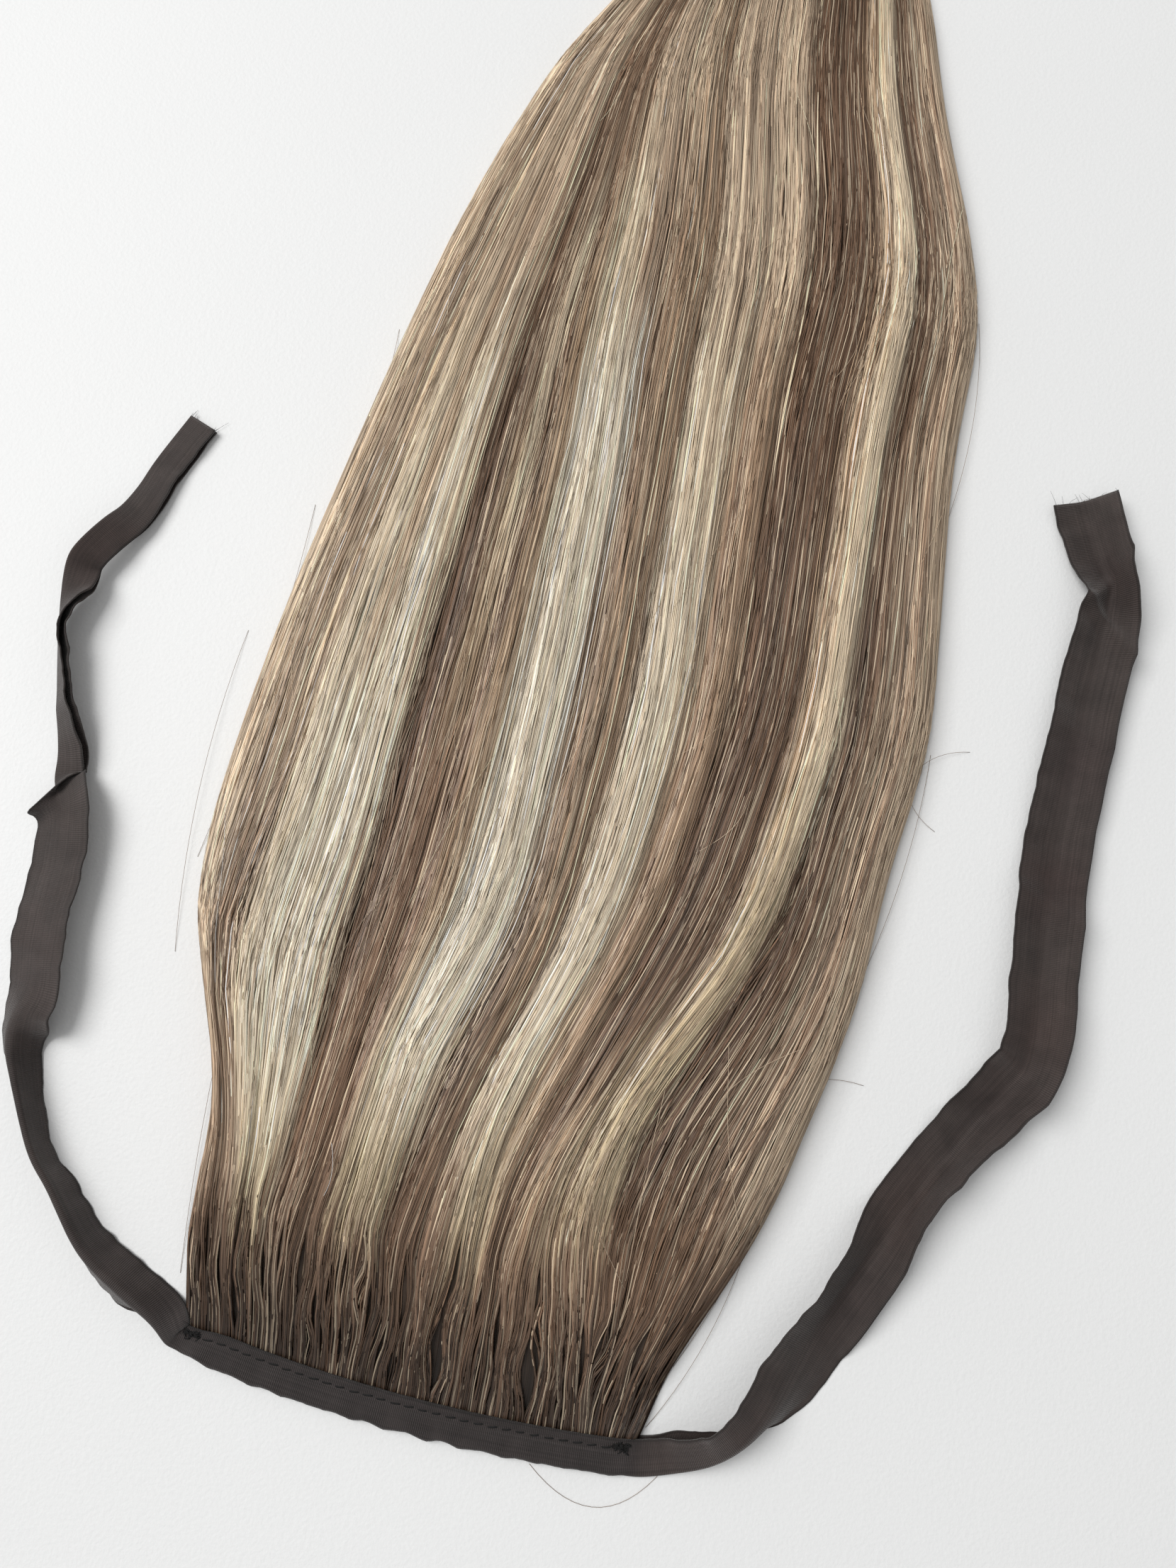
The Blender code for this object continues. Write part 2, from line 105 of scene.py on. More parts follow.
# The fold line of each tie in millimetres, and the tilt of the ribbon's two halves on either side
# of it in degrees: 0 points level towards the hair, 90 up, and -90 down.
TIE_COLUMNS = ("x", "y", "z", "front", "back")
LEFT_TIE = (
    (-71.3, -0.4, 1.4, 9, 0),
    (-76.9, 5.7, 5.0, -20, -72),
    (-85.3, 12.4, 9.0, -52, -120),
    (-101.5, 21.4, 10.2, -64, -112),
    (-115.9, 36.2, 10.8, -78, -104),
    (-124.4, 44.3, 10.6, -78, -104),
    (-134.3, 59.7, 10.4, -76, -106),
    (-141.1, 72.4, 10.0, -48, -114),
    (-142.0, 81.1, 8.8, 4, -131),
    (-141.3, 90.0, 6.2, 21, -150),
    (-144.9, 109.1, 5.6, 24, -155),
    (-146.7, 131.2, 5.6, 24, -155),
    (-149.7, 143.8, 5.4, 24, -156),
    (-152.8, 148.4, 4.0, 18, -240),
    (-156.5, 152.4, 2.4, 12, -330),
    (-157.8, 159.3, 2.0, 16, -336),
    (-159.9, 165.9, 1.8, 30, -323),
    (-163.2, 174.8, 1.6, 44, -309),
    (-167.8, 189.4, 1.6, 55, -298),
    (-171.5, 202.0, 1.6, 57, -296),
    (-172.8, 211.5, 4.6, 24, -330),
    (-172.6, 217.7, 8.0, -12, -366),
    (-172.4, 224.3, 9.0, -26, -380),
    (-169.4, 231.3, 9.0, -26, -380),
    (-165.2, 239.2, 8.0, -24, -378),
    (-162.9, 244.5, 5.4, -14, -368),
    (-160.8, 253.8, 2.4, -1, -355),
    (-158.5, 264.2, 1.4, 0, -354),
    (-152.0, 282.0, 1.4, 0, -354),
)
RIGHT_TIE = (
    (71.3, -0.8, 1.4, 9, 0),
    (79.5, 2.2, 1.8, 10, -2),
    (90.0, 8.5, 6.0, 28, -35),
    (97.5, 16.5, 9.5, 24, -80),
    (103.0, 25.5, 8.5, 16, -120),
    (108.0, 38.0, 5.0, 26, -150),
    (112.0, 49.0, 3.0, 42, -172),
    (116.5, 58.5, 1.6, 52, -200),
    (124.0, 74.0, 1.4, 36, -220),
    (133.0, 92.0, 1.4, 2, -256),
    (142.0, 109.5, 1.4, 2, -245),
    (151.5, 125.5, 2.0, 10, -232),
    (157.5, 137.0, 3.5, 6, -225),
    (159.0, 148.0, 4.5, 17, -220),
    (157.5, 173.5, 3.0, 20, -214),
    (156.0, 196.0, 1.4, 14, -210),
    (156.0, 224.5, 1.4, 16, -208),
    (157.0, 255.0, 1.4, 18, -210),
    (158.5, 283.0, 1.8, 20, -222),
    (158.0, 295.0, 3.0, 30, -250),
    (153.0, 306.0, 1.6, 14, -235),
    (144.5, 324.5, 1.4, 8, -210),
)

# Where the ribbon is painted darker or lighter than its own colour: painted shade on flaps that face away
# from the light or lie in shadow, and painted light on flaps that face it.
# Each row gives the place in millimetres, how far that reaches, and the three colours' factors
RIBBON_PAINTED_LIGHT_AND_SHADE = (
    (-72.0, 2.0, 16.0, (0.74, 0.76, 0.80)),
    (-168.0, 228.0, 18.0, (0.84, 0.74, 0.72)),
    (-145.0, 98.0, 16.0, (1.02, 0.98, 0.98)),
    (-134.0, 62.0, 18.0, (0.82, 0.82, 0.84)),
    (-104.0, 26.0, 14.0, (0.80, 0.80, 0.82)),
    (96.0, 14.0, 15.0, (0.96, 0.86, 0.84)),
    (118.0, 60.0, 12.0, (0.78, 0.74, 0.75)),
    (132.0, 90.0, 14.0, (1.02, 0.94, 0.92)),
    (152.0, 127.0, 11.0, (0.84, 0.80, 0.81)),
    (158.0, 152.0, 13.0, (1.04, 0.94, 0.92)),
    (156.0, 196.0, 12.0, (0.92, 0.80, 0.80)),
    (157.0, 236.0, 14.0, (0.92, 0.86, 0.88)),
    (156.0, 298.0, 9.0, (0.80, 0.74, 0.74)),
)
BAND_TONE = (0.64, 0.66, 0.70)

# The hair's outline across the weft's direction, and the height of its crown
HAIR_COLUMNS = ("along", "left", "right", "crown")
HAIR_SECTIONS = (
    (6, -67.5, 67.5, 3.2),
    (25, -73.0, 72.0, 8.5),
    (45, -75.5, 80.0, 12.0),
    (60, -76.5, 86.0, 14.0),
    (80, -82.0, 92.0, 15.5),
    (100, -91.0, 96.0, 16.5),
    (120, -99.0, 100.0, 16.5),
    (145, -103.0, 103.5, 16.0),
    (185, -103.0, 105.0, 15.0),
    (230, -100.5, 109.0, 14.0),
    (280, -95.0, 104.0, 13.0),
    (330, -89.0, 98.5, 12.0),
    (380, -81.0, 97.0, 11.0),
    (415, -73.0, 87.0, 10.5),
    (445, -64.0, 75.0, 10.0),
    (475, -50.0, 65.0, 9.0),
    (505, -38.0, 57.0, 8.0),
    (535, -29.0, 50.0, 6.5),
    (570, -20.0, 42.0, 5.0),
)
HAIR_LENGTH = 560.0
HAIR_START = 8.9
LEAVING_LENGTH = 34.0
ROOT_HEIGHT = 2.4
ROOT_SPREAD_AT = 22.0
BED_ACROSS = 98
BED_STATIONS = 100
BED_LIFT = -0.75
# The bed's colour is the hair's times this: painted shade under the strands
BED_PAINTED_SHADE = 0.44
BED_LEAST = 0.35

# How strands are drawn: strands in a wisp, clumps near the weft, the shares of strands that fly over
# the others, are light and are dark, how much of that tone is mixed in, and the limits of a tint
STRANDS_A_WISP = 9
CLUMPS = 60
CLUMP_SEED = 5
FLYING_FROM = 0.96
LIGHT_FROM = 0.86
DARK_BELOW = 0.17
MIXED_IN = 0.6
TINT_LIMITS = (0.004, 0.92)
FLYAWAYS = 130
EDGE_FLATNESS = 0.24
TIP_LENGTH = 62.0
END_HEIGHT = 0.4

# How the hair flows: each line is named by its place across the belly, 0 at the left edge and 1 at
# the right, and a row gives every line's place at one distance along the hair.
FLOW_LINES = (0.0, 0.085, 0.25, 0.32, 0.443, 0.525, 0.615, 0.74, 0.84, 0.957, 1.0)
FLOW = (
    (5, 0.0, 0.075, 0.165, 0.222, 0.380, 0.455, 0.570, 0.705, 0.885, 0.975, 1.0),
    (25, 0.0, 0.070, 0.165, 0.220, 0.370, 0.447, 0.560, 0.680, 0.837, 0.960, 1.0),
    (40, 0.0, 0.062, 0.160, 0.218, 0.350, 0.420, 0.537, 0.630, 0.777, 0.940, 1.0),
    (50, 0.0, 0.055, 0.158, 0.218, 0.335, 0.407, 0.520, 0.600, 0.740, 0.930, 1.0),
    (60, 0.0, 0.045, 0.162, 0.222, 0.333, 0.407, 0.507, 0.590, 0.710, 0.920, 1.0),
    (75, 0.0, 0.037, 0.176, 0.235, 0.340, 0.420, 0.504, 0.597, 0.693, 0.910, 1.0),
    (85, 0.0, 0.036, 0.194, 0.250, 0.353, 0.435, 0.513, 0.613, 0.698, 0.910, 1.0),
    (100, 0.0, 0.041, 0.222, 0.280, 0.375, 0.465, 0.537, 0.645, 0.720, 0.920, 1.0),
    (125, 0.0, 0.065, 0.248, 0.315, 0.427, 0.510, 0.580, 0.682, 0.768, 0.940, 1.0),
    (150, 0.0, 0.083, 0.262, 0.327, 0.452, 0.529, 0.605, 0.714, 0.812, 0.950, 1.0),
    (175, 0.0, 0.089, 0.260, 0.325, 0.454, 0.531, 0.617, 0.735, 0.836, 0.957, 1.0),
    (200, 0.0, 0.085, 0.250, 0.320, 0.443, 0.525, 0.615, 0.740, 0.840, 0.957, 1.0),
    (250, 0.0, 0.080, 0.234, 0.302, 0.420, 0.507, 0.594, 0.738, 0.837, 0.957, 1.0),
    (300, 0.0, 0.080, 0.218, 0.292, 0.403, 0.493, 0.582, 0.735, 0.845, 0.957, 1.0),
    (350, 0.0, 0.080, 0.204, 0.264, 0.366, 0.470, 0.560, 0.731, 0.849, 0.958, 1.0),
    (400, 0.0, 0.078, 0.189, 0.243, 0.327, 0.435, 0.528, 0.726, 0.845, 0.960, 1.0),
    (450, 0.0, 0.070, 0.160, 0.205, 0.268, 0.380, 0.478, 0.708, 0.828, 0.951, 1.0),
    (490, 0.0, 0.062, 0.135, 0.171, 0.222, 0.320, 0.420, 0.680, 0.818, 0.948, 1.0),
    (570, 0.0, 0.058, 0.120, 0.150, 0.200, 0.285, 0.385, 0.650, 0.800, 0.942, 1.0),
)

# Each lock: the flow lines that it lies between, how far it stands proud of the hair under it, and
# where along the hair it begins and ends
LOCKS = (
    (0.004, 0.080, 1.6, 22, 534),
    (0.092, 0.172, 2.0, 14, 541),
    (0.165, 0.252, 2.6, 30, 552),
    (0.268, 0.330, 1.5, 18, 543),
    (0.338, 0.396, 1.2, 40, 556),
    (0.400, 0.488, 3.2, 24, 562),
    (0.496, 0.552, 1.4, 34, 549),
    (0.560, 0.652, 2.6, 16, 558),
    (0.660, 0.704, 1.4, 30, 545),
    (0.716, 0.790, 1.2, 20, 556),
    (0.800, 0.872, 2.8, 36, 549),
    (0.884, 0.930, 1.1, 24, 540),
    (0.940, 0.996, 1.5, 16, 532),
)

# The streaks, charted one by one: the flow lines that each lies between, where along the hair it
# begins and ends, its tone, and how much of it shows
# The narrow dark streaks at the gaps between locks, near lines 0.09, 0.25, 0.34, 0.50 and 0.88, are painted
# shadow in those gaps; the wide dark streaks are the hair's own dark brown
STREAKS = (
    (-0.05, 1.05, 64, 600, "brown", 0.85),
    (-0.05, 0.105, 52, 600, "taupe", 0.85),
    (-0.05, 0.050, 110, 600, "beige", 0.85),
    (0.055, 0.100, 165, 600, "beige", 0.45),
    # painted shadow in the gap between locks
    (0.052, 0.104, 92, 150, "dark", 0.55),
    (0.104, 0.245, 56, 600, "beige", 0.9),
    (0.130, 0.232, 46, 74, "straw", 0.6),
    (0.106, 0.238, 70, 330, "cream", 0.8),
    (0.122, 0.236, 76, 205, "platinum", 0.8),
    (0.128, 0.150, 200, 300, "platinum", 0.6),
    (0.185, 0.222, 200, 330, "platinum", 0.55),
    (0.152, 0.178, 210, 380, "taupe", 0.6),
    (0.100, 0.250, 345, 600, "taupe", 0.45),
    # painted shadow in the gap between locks
    (0.243, 0.262, 84, 330, "dark", 0.75),
    (0.256, 0.296, 190, 420, "dark", 0.55),
    (0.262, 0.360, 60, 220, "russet", 0.35),
    (0.298, 0.334, 195, 300, "golden", 0.8),
    (0.303, 0.336, 250, 398, "cream", 0.75),
    # painted shadow in the gap between locks
    (0.336, 0.352, 215, 405, "dark", 0.7),
    (0.352, 0.386, 120, 420, "golden", 0.6),
    (0.366, 0.480, 52, 84, "straw", 0.6),
    (0.360, 0.492, 76, 122, "cream", 0.9),
    (0.386, 0.484, 88, 352, "platinum", 0.9),
    (0.418, 0.428, 150, 330, "beige", 0.6),
    (0.384, 0.450, 335, 425, "cream", 0.85),
    (0.450, 0.490, 345, 430, "taupe", 0.6),
    (0.300, 0.415, 392, 600, "brown", 0.75),
    (0.420, 0.520, 405, 600, "beige", 0.75),
    # painted shadow in the gap between locks
    (0.492, 0.514, 52, 165, "dark", 0.85),
    (0.500, 0.560, 120, 600, "golden", 0.3),
    (0.560, 0.645, 72, 360, "cream", 0.9),
    (0.580, 0.632, 92, 270, "platinum", 0.55),
    (0.590, 0.680, 50, 84, "straw", 0.4),
    (0.645, 0.702, 90, 380, "golden", 0.35),
    (0.655, 0.672, 120, 350, "russet", 0.5),
    (0.560, 0.700, 350, 600, "beige", 0.8),
    (0.610, 0.622, 300, 600, "brown", 0.6),
    (0.702, 0.800, 100, 600, "dark", 0.8),
    (0.735, 0.760, 60, 110, "golden", 0.5),
    (0.775, 0.800, 60, 120, "straw", 0.4),
    (0.808, 0.862, 62, 205, "straw", 0.5),
    (0.832, 0.842, 50, 240, "taupe", 0.6),
    (0.822, 0.874, 190, 600, "cream", 0.9),
    (0.800, 0.826, 185, 600, "golden", 0.6),
    # painted shadow in the gap between locks
    (0.868, 0.906, 72, 600, "dark", 0.85),
    (0.906, 1.05, 90, 600, "taupe", 0.3),
    (0.922, 0.930, 80, 600, "cream", 0.45),
    (0.938, 0.945, 120, 500, "beige", 0.5),
    (0.945, 0.958, 150, 420, "dark", 0.4),
    (0.966, 1.05, 70, 600, "beige", 0.8),
    (0.87, 0.96, 40, 180, "dark", 0.4),
)
STREAK_BLUR = 0.007
FADE_IN, FADE_OUT = 16, 30
ROOT_FADE = (5, 52)
TONES = {
    "platinum": (233, 222, 202),
    "straw": (216, 204, 170),
    "cream": (227, 210, 184),
    "beige": (206, 186, 162),
    "golden": (194, 170, 141),
    "taupe": (176, 153, 131),
    "brown": (143, 118, 97),
    "russet": (150, 117, 96),
    # The hair's own dark brown; the narrow dark streaks at the gaps between locks also use it as painted
    # shadow
    "dark": (98, 74, 57),
    "root": (122, 99, 82),
    "deep": (52, 41, 34),
}

# Where strands swerve aside near the weft: the flow line, how far they are shifted below, over what
# width, and where along the hair the shift is made good
SWERVES = (
    (0.71, -0.028, 0.100, 20, 54),
    (0.49, -0.026, 0.050, 6, 28),
    (0.25, 0.014, 0.030, 14, 34),
    (0.13, -0.020, 0.040, 20, 50),
    (0.90, -0.030, 0.050, 12, 44),
)

# Where the strands part and show the dark under them: the flow line, the middle and half length
# along the hair, and how far each side is pushed
PARTINGS = (
    (0.447, 33, 13, 0.012),
    (0.248, 26, 11, 0.009),
    (0.505, 52, 16, 0.006),
    (0.105, 14, 10, 0.006),
    (0.885, 24, 14, 0.012),
    (0.362, 9, 9, 0.008),
    (0.180, 40, 9, 0.005),
    (0.600, 22, 12, 0.006),
    (0.690, 38, 12, 0.006),
    (0.790, 30, 14, 0.006),
    (0.252, 190, 120, 0.006),
    (0.344, 310, 90, 0.005),
    (0.497, 110, 60, 0.005),
    (0.870, 150, 80, 0.006),
    (0.100, 125, 34, 0.006),
)

# Loose single hairs on and round the hairpiece: start and end in millimetres, how far the middle
# bows sideways, and how high it rises
STRAY_COLUMNS = ("x1", "y1", "x2", "y2", "bow", "rise")
STRAYS = (
    (39.6, -5.5, 78.0, 3.0, -11.0, 0.2),
    (66.0, 6.0, 72.0, 40.0, 3.0, 2.0),
    (92.0, 118.0, 112.0, 122.0, 1.5, 1.0),
    (104.0, 210.0, 124.0, 232.0, 5.0, 2.0),
    (106.0, 222.0, 118.0, 204.0, -4.0, 1.5),
    (-74.0, 20.0, -84.0, 150.0, 3.0, 1.0),
    (-104.0, 110.0, -112.0, 215.0, 3.5, 1.5),
    (-106.0, 140.0, -103.0, 262.0, -3.0, 1.5),
    (-98.0, 240.0, -93.0, 330.0, -4.0, 2.0),
    (-90.0, 330.0, -72.0, 425.0, -3.0, 2.0),
    (101.0, 300.0, 99.0, 380.0, -3.5, 2.0),
    (104.0, 150.0, 112.0, 228.0, -2.5, 1.5),
    (74.0, 30.0, 92.0, 92.0, -2.0, 1.5),
    (70.0, 12.0, 88.0, 74.0, -3.5, 1.0),
)

# The camera looks down on the table from over the hair's first half, a little tilted.
PHOTO_HEIGHT = 2212
FOCAL_PIXELS = 1662
CAMERA_AT = (0.0236, 0.1291, 0.370)
CAMERA_TILT = 10.0
CAMERA_TURN = 14.0

# The window is a square lamp, in metres
WINDOW_SIZE = 2.4
WINDOW_FROM = (-2.3, 0.5, 3.1)
WINDOW_TOWARDS = (0.0, 0.2, 0.0)
WINDOW_COLOUR = (1.0, 0.985, 0.96)
ROOM_COLOUR = (1.0, 0.992, 0.975, 1.0)
TABLE_HALF = 2500.0


class RibbonSettings(bpy.types.PropertyGroup):
    """Sizes and colours of the ribbon and its sewing thread."""

    width: bpy.props.FloatProperty(
        name="Width", description="Width of the flat ribbon", default=0.022, unit="LENGTH"
    )
    thickness: bpy.props.FloatProperty(
        name="Thickness", description="Thickness of the cloth", default=0.00036, unit="LENGTH"
    )
    rib_pitch: bpy.props.FloatProperty(
        name="Rib pitch", description="Distance from one rib to the next", default=0.00057, unit="LENGTH"
    )
    colour: bpy.props.FloatVectorProperty(
        name="Colour", description="Colour of the cloth", default=(0.047, 0.0365, 0.034), subtype="COLOR"
    )
    thread_colour: bpy.props.FloatVectorProperty(
        name="Thread", description="Colour of the thread", default=(0.006, 0.0055, 0.006), subtype="COLOR"
    )
    thread_width: bpy.props.FloatProperty(
        name="Thread width", description="Width of the sewing thread", default=0.00060, unit="LENGTH"
    )
    stitch_pitch: bpy.props.FloatProperty(
        name="Stitch pitch", description="From one stitch to the next", default=0.0042, unit="LENGTH"
    )


class HairSettings(bpy.types.PropertyGroup):
    """Sizes of the hair's strands and its colour strength."""

    strand_width: bpy.props.FloatProperty(
        name="Strand width", description="Width of a fine strand", default=0.00036, unit="LENGTH"
    )
    strands: bpy.props.IntProperty(
        name="Strands", description="Strands in each part of the hair", default=850, min=10
    )
    root_strands: bpy.props.IntProperty(
        name="Root strands", description="Short strands in each half by the weft", default=1100, min=10
    )
    stray_width: bpy.props.FloatProperty(
        name="Stray width", description="Width of a single stray hair", default=0.00013, unit="LENGTH"
    )
    brightness: bpy.props.FloatProperty(
        name="Brightness", description="Multiplies every tone of the hair", default=1.0, min=0.1
    )


class StageSettings(bpy.types.PropertyGroup):
    """The table and the light."""

    table_colour: bpy.props.FloatVectorProperty(
        name="Table", description="Colour of the table", default=(0.795, 0.808, 0.822), subtype="COLOR"
    )
    window_power: bpy.props.FloatProperty(
        name="Window", description="Power of the soft side light", default=129.0, unit="POWER"
    )
    room_strength: bpy.props.FloatProperty(
        name="Room", description="Strength of the light from all round", default=0.45
    )


def linear(tone):
    """A tone's screen values from 0 to 255 turned into linear colour by the usual power curve."""
    value = np.array(tone, float) / 255
    return np.where(value <= 0.04045, value / 12.92, ((value + 0.055) / 1.055) ** 2.4)


def column(table, columns, name):
    """One named column of a table, as an array."""
    return np.array([row[columns.index(name)] for row in table], float)


def through(knots, values, at):
    """A smooth curve through the values: cubic pieces whose slopes are those of the neighbours."""
    slopes = np.gradient(values, knots)
    place = np.clip(np.searchsorted(knots, at) - 1, 0, len(knots) - 2)
    span = knots[place + 1] - knots[place]
    part = (at - knots[place]) / span
    start, end = values[place], values[place + 1]
    return (
        (1 + 2 * part) * (1 - part) ** 2 * start
        + part * (1 - part) ** 2 * span * slopes[place]
        + part**2 * (3 - 2 * part) * end
        + part**2 * (part - 1) * span * slopes[place + 1]
    )


def eased(value, low, high):
    """0 below low and 1 above high, with a smooth s-shaped change between them."""
    part = np.clip((value - low) / (high - low), 0, 1)
    return part * part * (3 - 2 * part)


def unit(vectors):
    """The vectors divided by their lengths."""
    return vectors / np.maximum(np.linalg.norm(vectors, axis=-1, keepdims=True), 1e-12)


def waves(at, count, longest, seed):
    """A wandering value round 0: the sum of sines of several lengths, each with a drawn phase, and
    each as high as its length."""
    drawn = np.random.default_rng(seed)
    total = np.zeros(np.shape(at))
    for number in range(count):
        length = longest / 1.7**number
        total = total + np.sin(2 * np.pi * at / length + drawn.uniform(0, 2 * np.pi)) / 1.7**number
    return total / 1.6


def mesh_object(name, points, quads, ends, material, uv=None, tint=None):
    """One object from arrays: points in millimetres, four-sided faces, and a list of arrays of
    faces with other numbers of sides. All are turned round when their volume comes out negative."""
    corners = [quads.reshape(-1)] + [face.reshape(-1) for face in ends]
    totals = [np.full(len(quads), 4)] + [np.full(len(face), face.shape[1]) for face in ends]
    corners, totals = np.concatenate(corners), np.concatenate(totals)
    first, second, third, fourth = (points[quads[:, k]] for k in range(4))
    volume = np.einsum("ij,ij->i", first, np.cross(second, third)).sum()
    volume += np.einsum("ij,ij->i", first, np.cross(third, fourth)).sum()
    starts = np.concatenate([[0], np.cumsum(totals)[:-1]])
    if volume < 0:
        back = np.repeat(starts + starts + totals - 1, totals) - np.arange(len(corners))
        corners = corners[back]
    mesh = bpy.data.meshes.new(name)
    mesh.vertices.add(len(points))
    mesh.vertices.foreach_set("co", (points * MM).astype(np.float32).reshape(-1))
    mesh.loops.add(len(corners))
    mesh.loops.foreach_set("vertex_index", corners.astype(np.int32))
    mesh.polygons.add(len(totals))
    mesh.polygons.foreach_set("loop_start", starts.astype(np.int32))
    mesh.polygons.foreach_set("use_smooth", np.ones(len(totals), bool))
    mesh.update(calc_edges=True)
    mesh.validate()
    if uv is not None:
        layer = mesh.uv_layers.new(name="UVMap")
        layer.data.foreach_set("uv", uv[corners].astype(np.float32).reshape(-1))
    if tint is not None:
        attribute = mesh.color_attributes.new("tint", "FLOAT_COLOR", "POINT")
        colours = np.concatenate([tint, np.ones((len(tint), 1))], axis=1)
        attribute.data.foreach_set("color", colours.astype(np.float32).reshape(-1))
    obj = bpy.data.objects.new(name, mesh)
    bpy.context.scene.collection.objects.link(obj)
    mesh.materials.append(material)
    return obj


def grid_quads(rows, around, closed):
    """The faces of a grid of points, row by row, joined round each row if it is closed."""
    down = np.arange(rows - 1)[:, None] * around
    last = around if closed else around - 1
    at = np.arange(last)[None, :]
    beside = (at + 1) % around
    corners = [down + at, down + around + at, down + around + beside, down + beside]
    return np.stack(corners, -1).reshape(-1, 4)


def strip_ends(rows, around):
    """Fills both ends of a loft whose rings are two facing sides, with a strip of faces between."""
    at = np.arange(around // 2 - 1)
    near = np.stack([at, at + 1, around - 2 - at, around - 1 - at], -1)
    return np.concatenate([near, (near + (rows - 1) * around)[:, ::-1]])


def carried_profile(path, side, up, half_width, half_height, sides):
    """Tubes: on every path a ring of points stands at each station, at side times the cosine and
    up times the sine of equal angles, as wide and as high as given there. Returns points, faces
    along, and faces over the ends."""
    count, stations = path.shape[:2]
    angle = np.pi / 2 + 2 * np.pi * np.arange(sides) / sides
    ring = (
        path[:, :, None, :]
        + side[:, :, None, :] * (np.cos(angle)[None, None, :] * half_width[:, :, None])[..., None]
        + up[:, :, None, :] * (np.sin(angle)[None, None, :] * half_height[:, :, None])[..., None]
    )
    offset = np.arange(count)[:, None, None] * stations * sides
    quads = (grid_quads(stations, sides, True)[None] + offset).reshape(-1, 4)
    near = np.arange(sides)[None, :] + offset[:, 0]
    far = near[:, ::-1] + (stations - 1) * sides
    return ring.reshape(-1, 3), quads, [np.concatenate([near, far])]


def tube_frames(path):
    """Two directions square to each path: the level one, and the one square to it and the path."""
    ahead = unit(np.gradient(path, axis=1))
    side = unit(np.cross(ahead, np.array([0.0, 0.0, 1.0]) + 1e-3))
    return side, unit(np.cross(side, ahead))


class Finish:
    """A Principled material that is being made: its nodes, its links and its shader."""

    def __init__(self, name, colour, roughness):
        self.material = bpy.data.materials.new(name)
        self.material.use_nodes = True
        self.nodes, self.links = self.material.node_tree.nodes, self.material.node_tree.links
        self.shader = self.nodes["Principled BSDF"]
        self.shader.inputs["Base Color"].default_value = (*colour, 1.0)
        self.shader.inputs["Roughness"].default_value = roughness

    def feed(self, name, value):
        self.links.new(value, self.shader.inputs[name])

    def mapped(self):
        """The piece's own map, whole and as its two coordinates."""
        texture = self.nodes.new("ShaderNodeUVMap")
        texture.uv_map = "UVMap"
        split = self.nodes.new("ShaderNodeSeparateXYZ")
        self.links.new(texture.outputs["UV"], split.inputs[0])
        return texture.outputs["UV"], split.outputs["X"], split.outputs["Y"]

    def tint(self):
        """The colour that the piece carries on its points."""
        attribute = self.nodes.new("ShaderNodeAttribute")
        attribute.attribute_name = "tint"
        return attribute.outputs["Color"]

    def maths(self, operation, *values):
        """One Math node fed with numbers or sockets."""
        node = self.nodes.new("ShaderNodeMath")
        node.operation = operation
        for socket, value in zip(node.inputs, values):
            if isinstance(value, (int, float)):
                socket.default_value = value
            else:
                self.links.new(value, socket)
        return node.outputs[0]

    def times(self, first, second):
        return self.maths("MULTIPLY", first, second)

    def ripple(self, value, length):
        """A sine wave of this length along a value."""
        return self.maths("SINE", self.times(value, 2 * np.pi / length))

    def ranged(self, value, *limits):
        """A Map Range node from one span of numbers to another."""
        node = self.nodes.new("ShaderNodeMapRange")
        self.links.new(value, node.inputs["Value"])
        for name, number in zip(("From Min", "From Max", "To Min", "To Max"), limits):
            node.inputs[name].default_value = number
        return node.outputs["Result"]

    def noise(self, vector, scale, detail=2.0, roughness=0.5):
        """A Noise texture on coordinates multiplied by three scales."""
        mapping = self.nodes.new("ShaderNodeMapping")
        mapping.inputs["Scale"].default_value = scale
        self.links.new(vector, mapping.inputs["Vector"])
        noise = self.nodes.new("ShaderNodeTexNoise")
        noise.inputs["Scale"].default_value = 1.0
        noise.inputs["Detail"].default_value = detail
        noise.inputs["Roughness"].default_value = roughness
        self.links.new(mapping.outputs["Vector"], noise.inputs["Vector"])
        return noise.outputs["Fac"]

    def coloured(self, colour, factor):
        """Feeds the shader a colour, given or from a socket, multiplied by a number."""
        node = self.nodes.new("ShaderNodeVectorMath")
        node.operation = "SCALE"
        if isinstance(colour, tuple):
            node.inputs[0].default_value = colour
        else:
            self.links.new(colour, node.inputs[0])
        self.links.new(factor, node.inputs["Scale"])
        self.feed("Base Color", node.outputs["Vector"])

    def bumped(self, height, distance, strength=1.0):
        """Raises the surface by a height, as bump."""
        node = self.nodes.new("ShaderNodeBump")
        node.inputs["Distance"].default_value = distance
        node.inputs["Strength"].default_value = strength
        self.links.new(height, node.inputs["Height"])
        self.feed("Normal", node.outputs["Normal"])


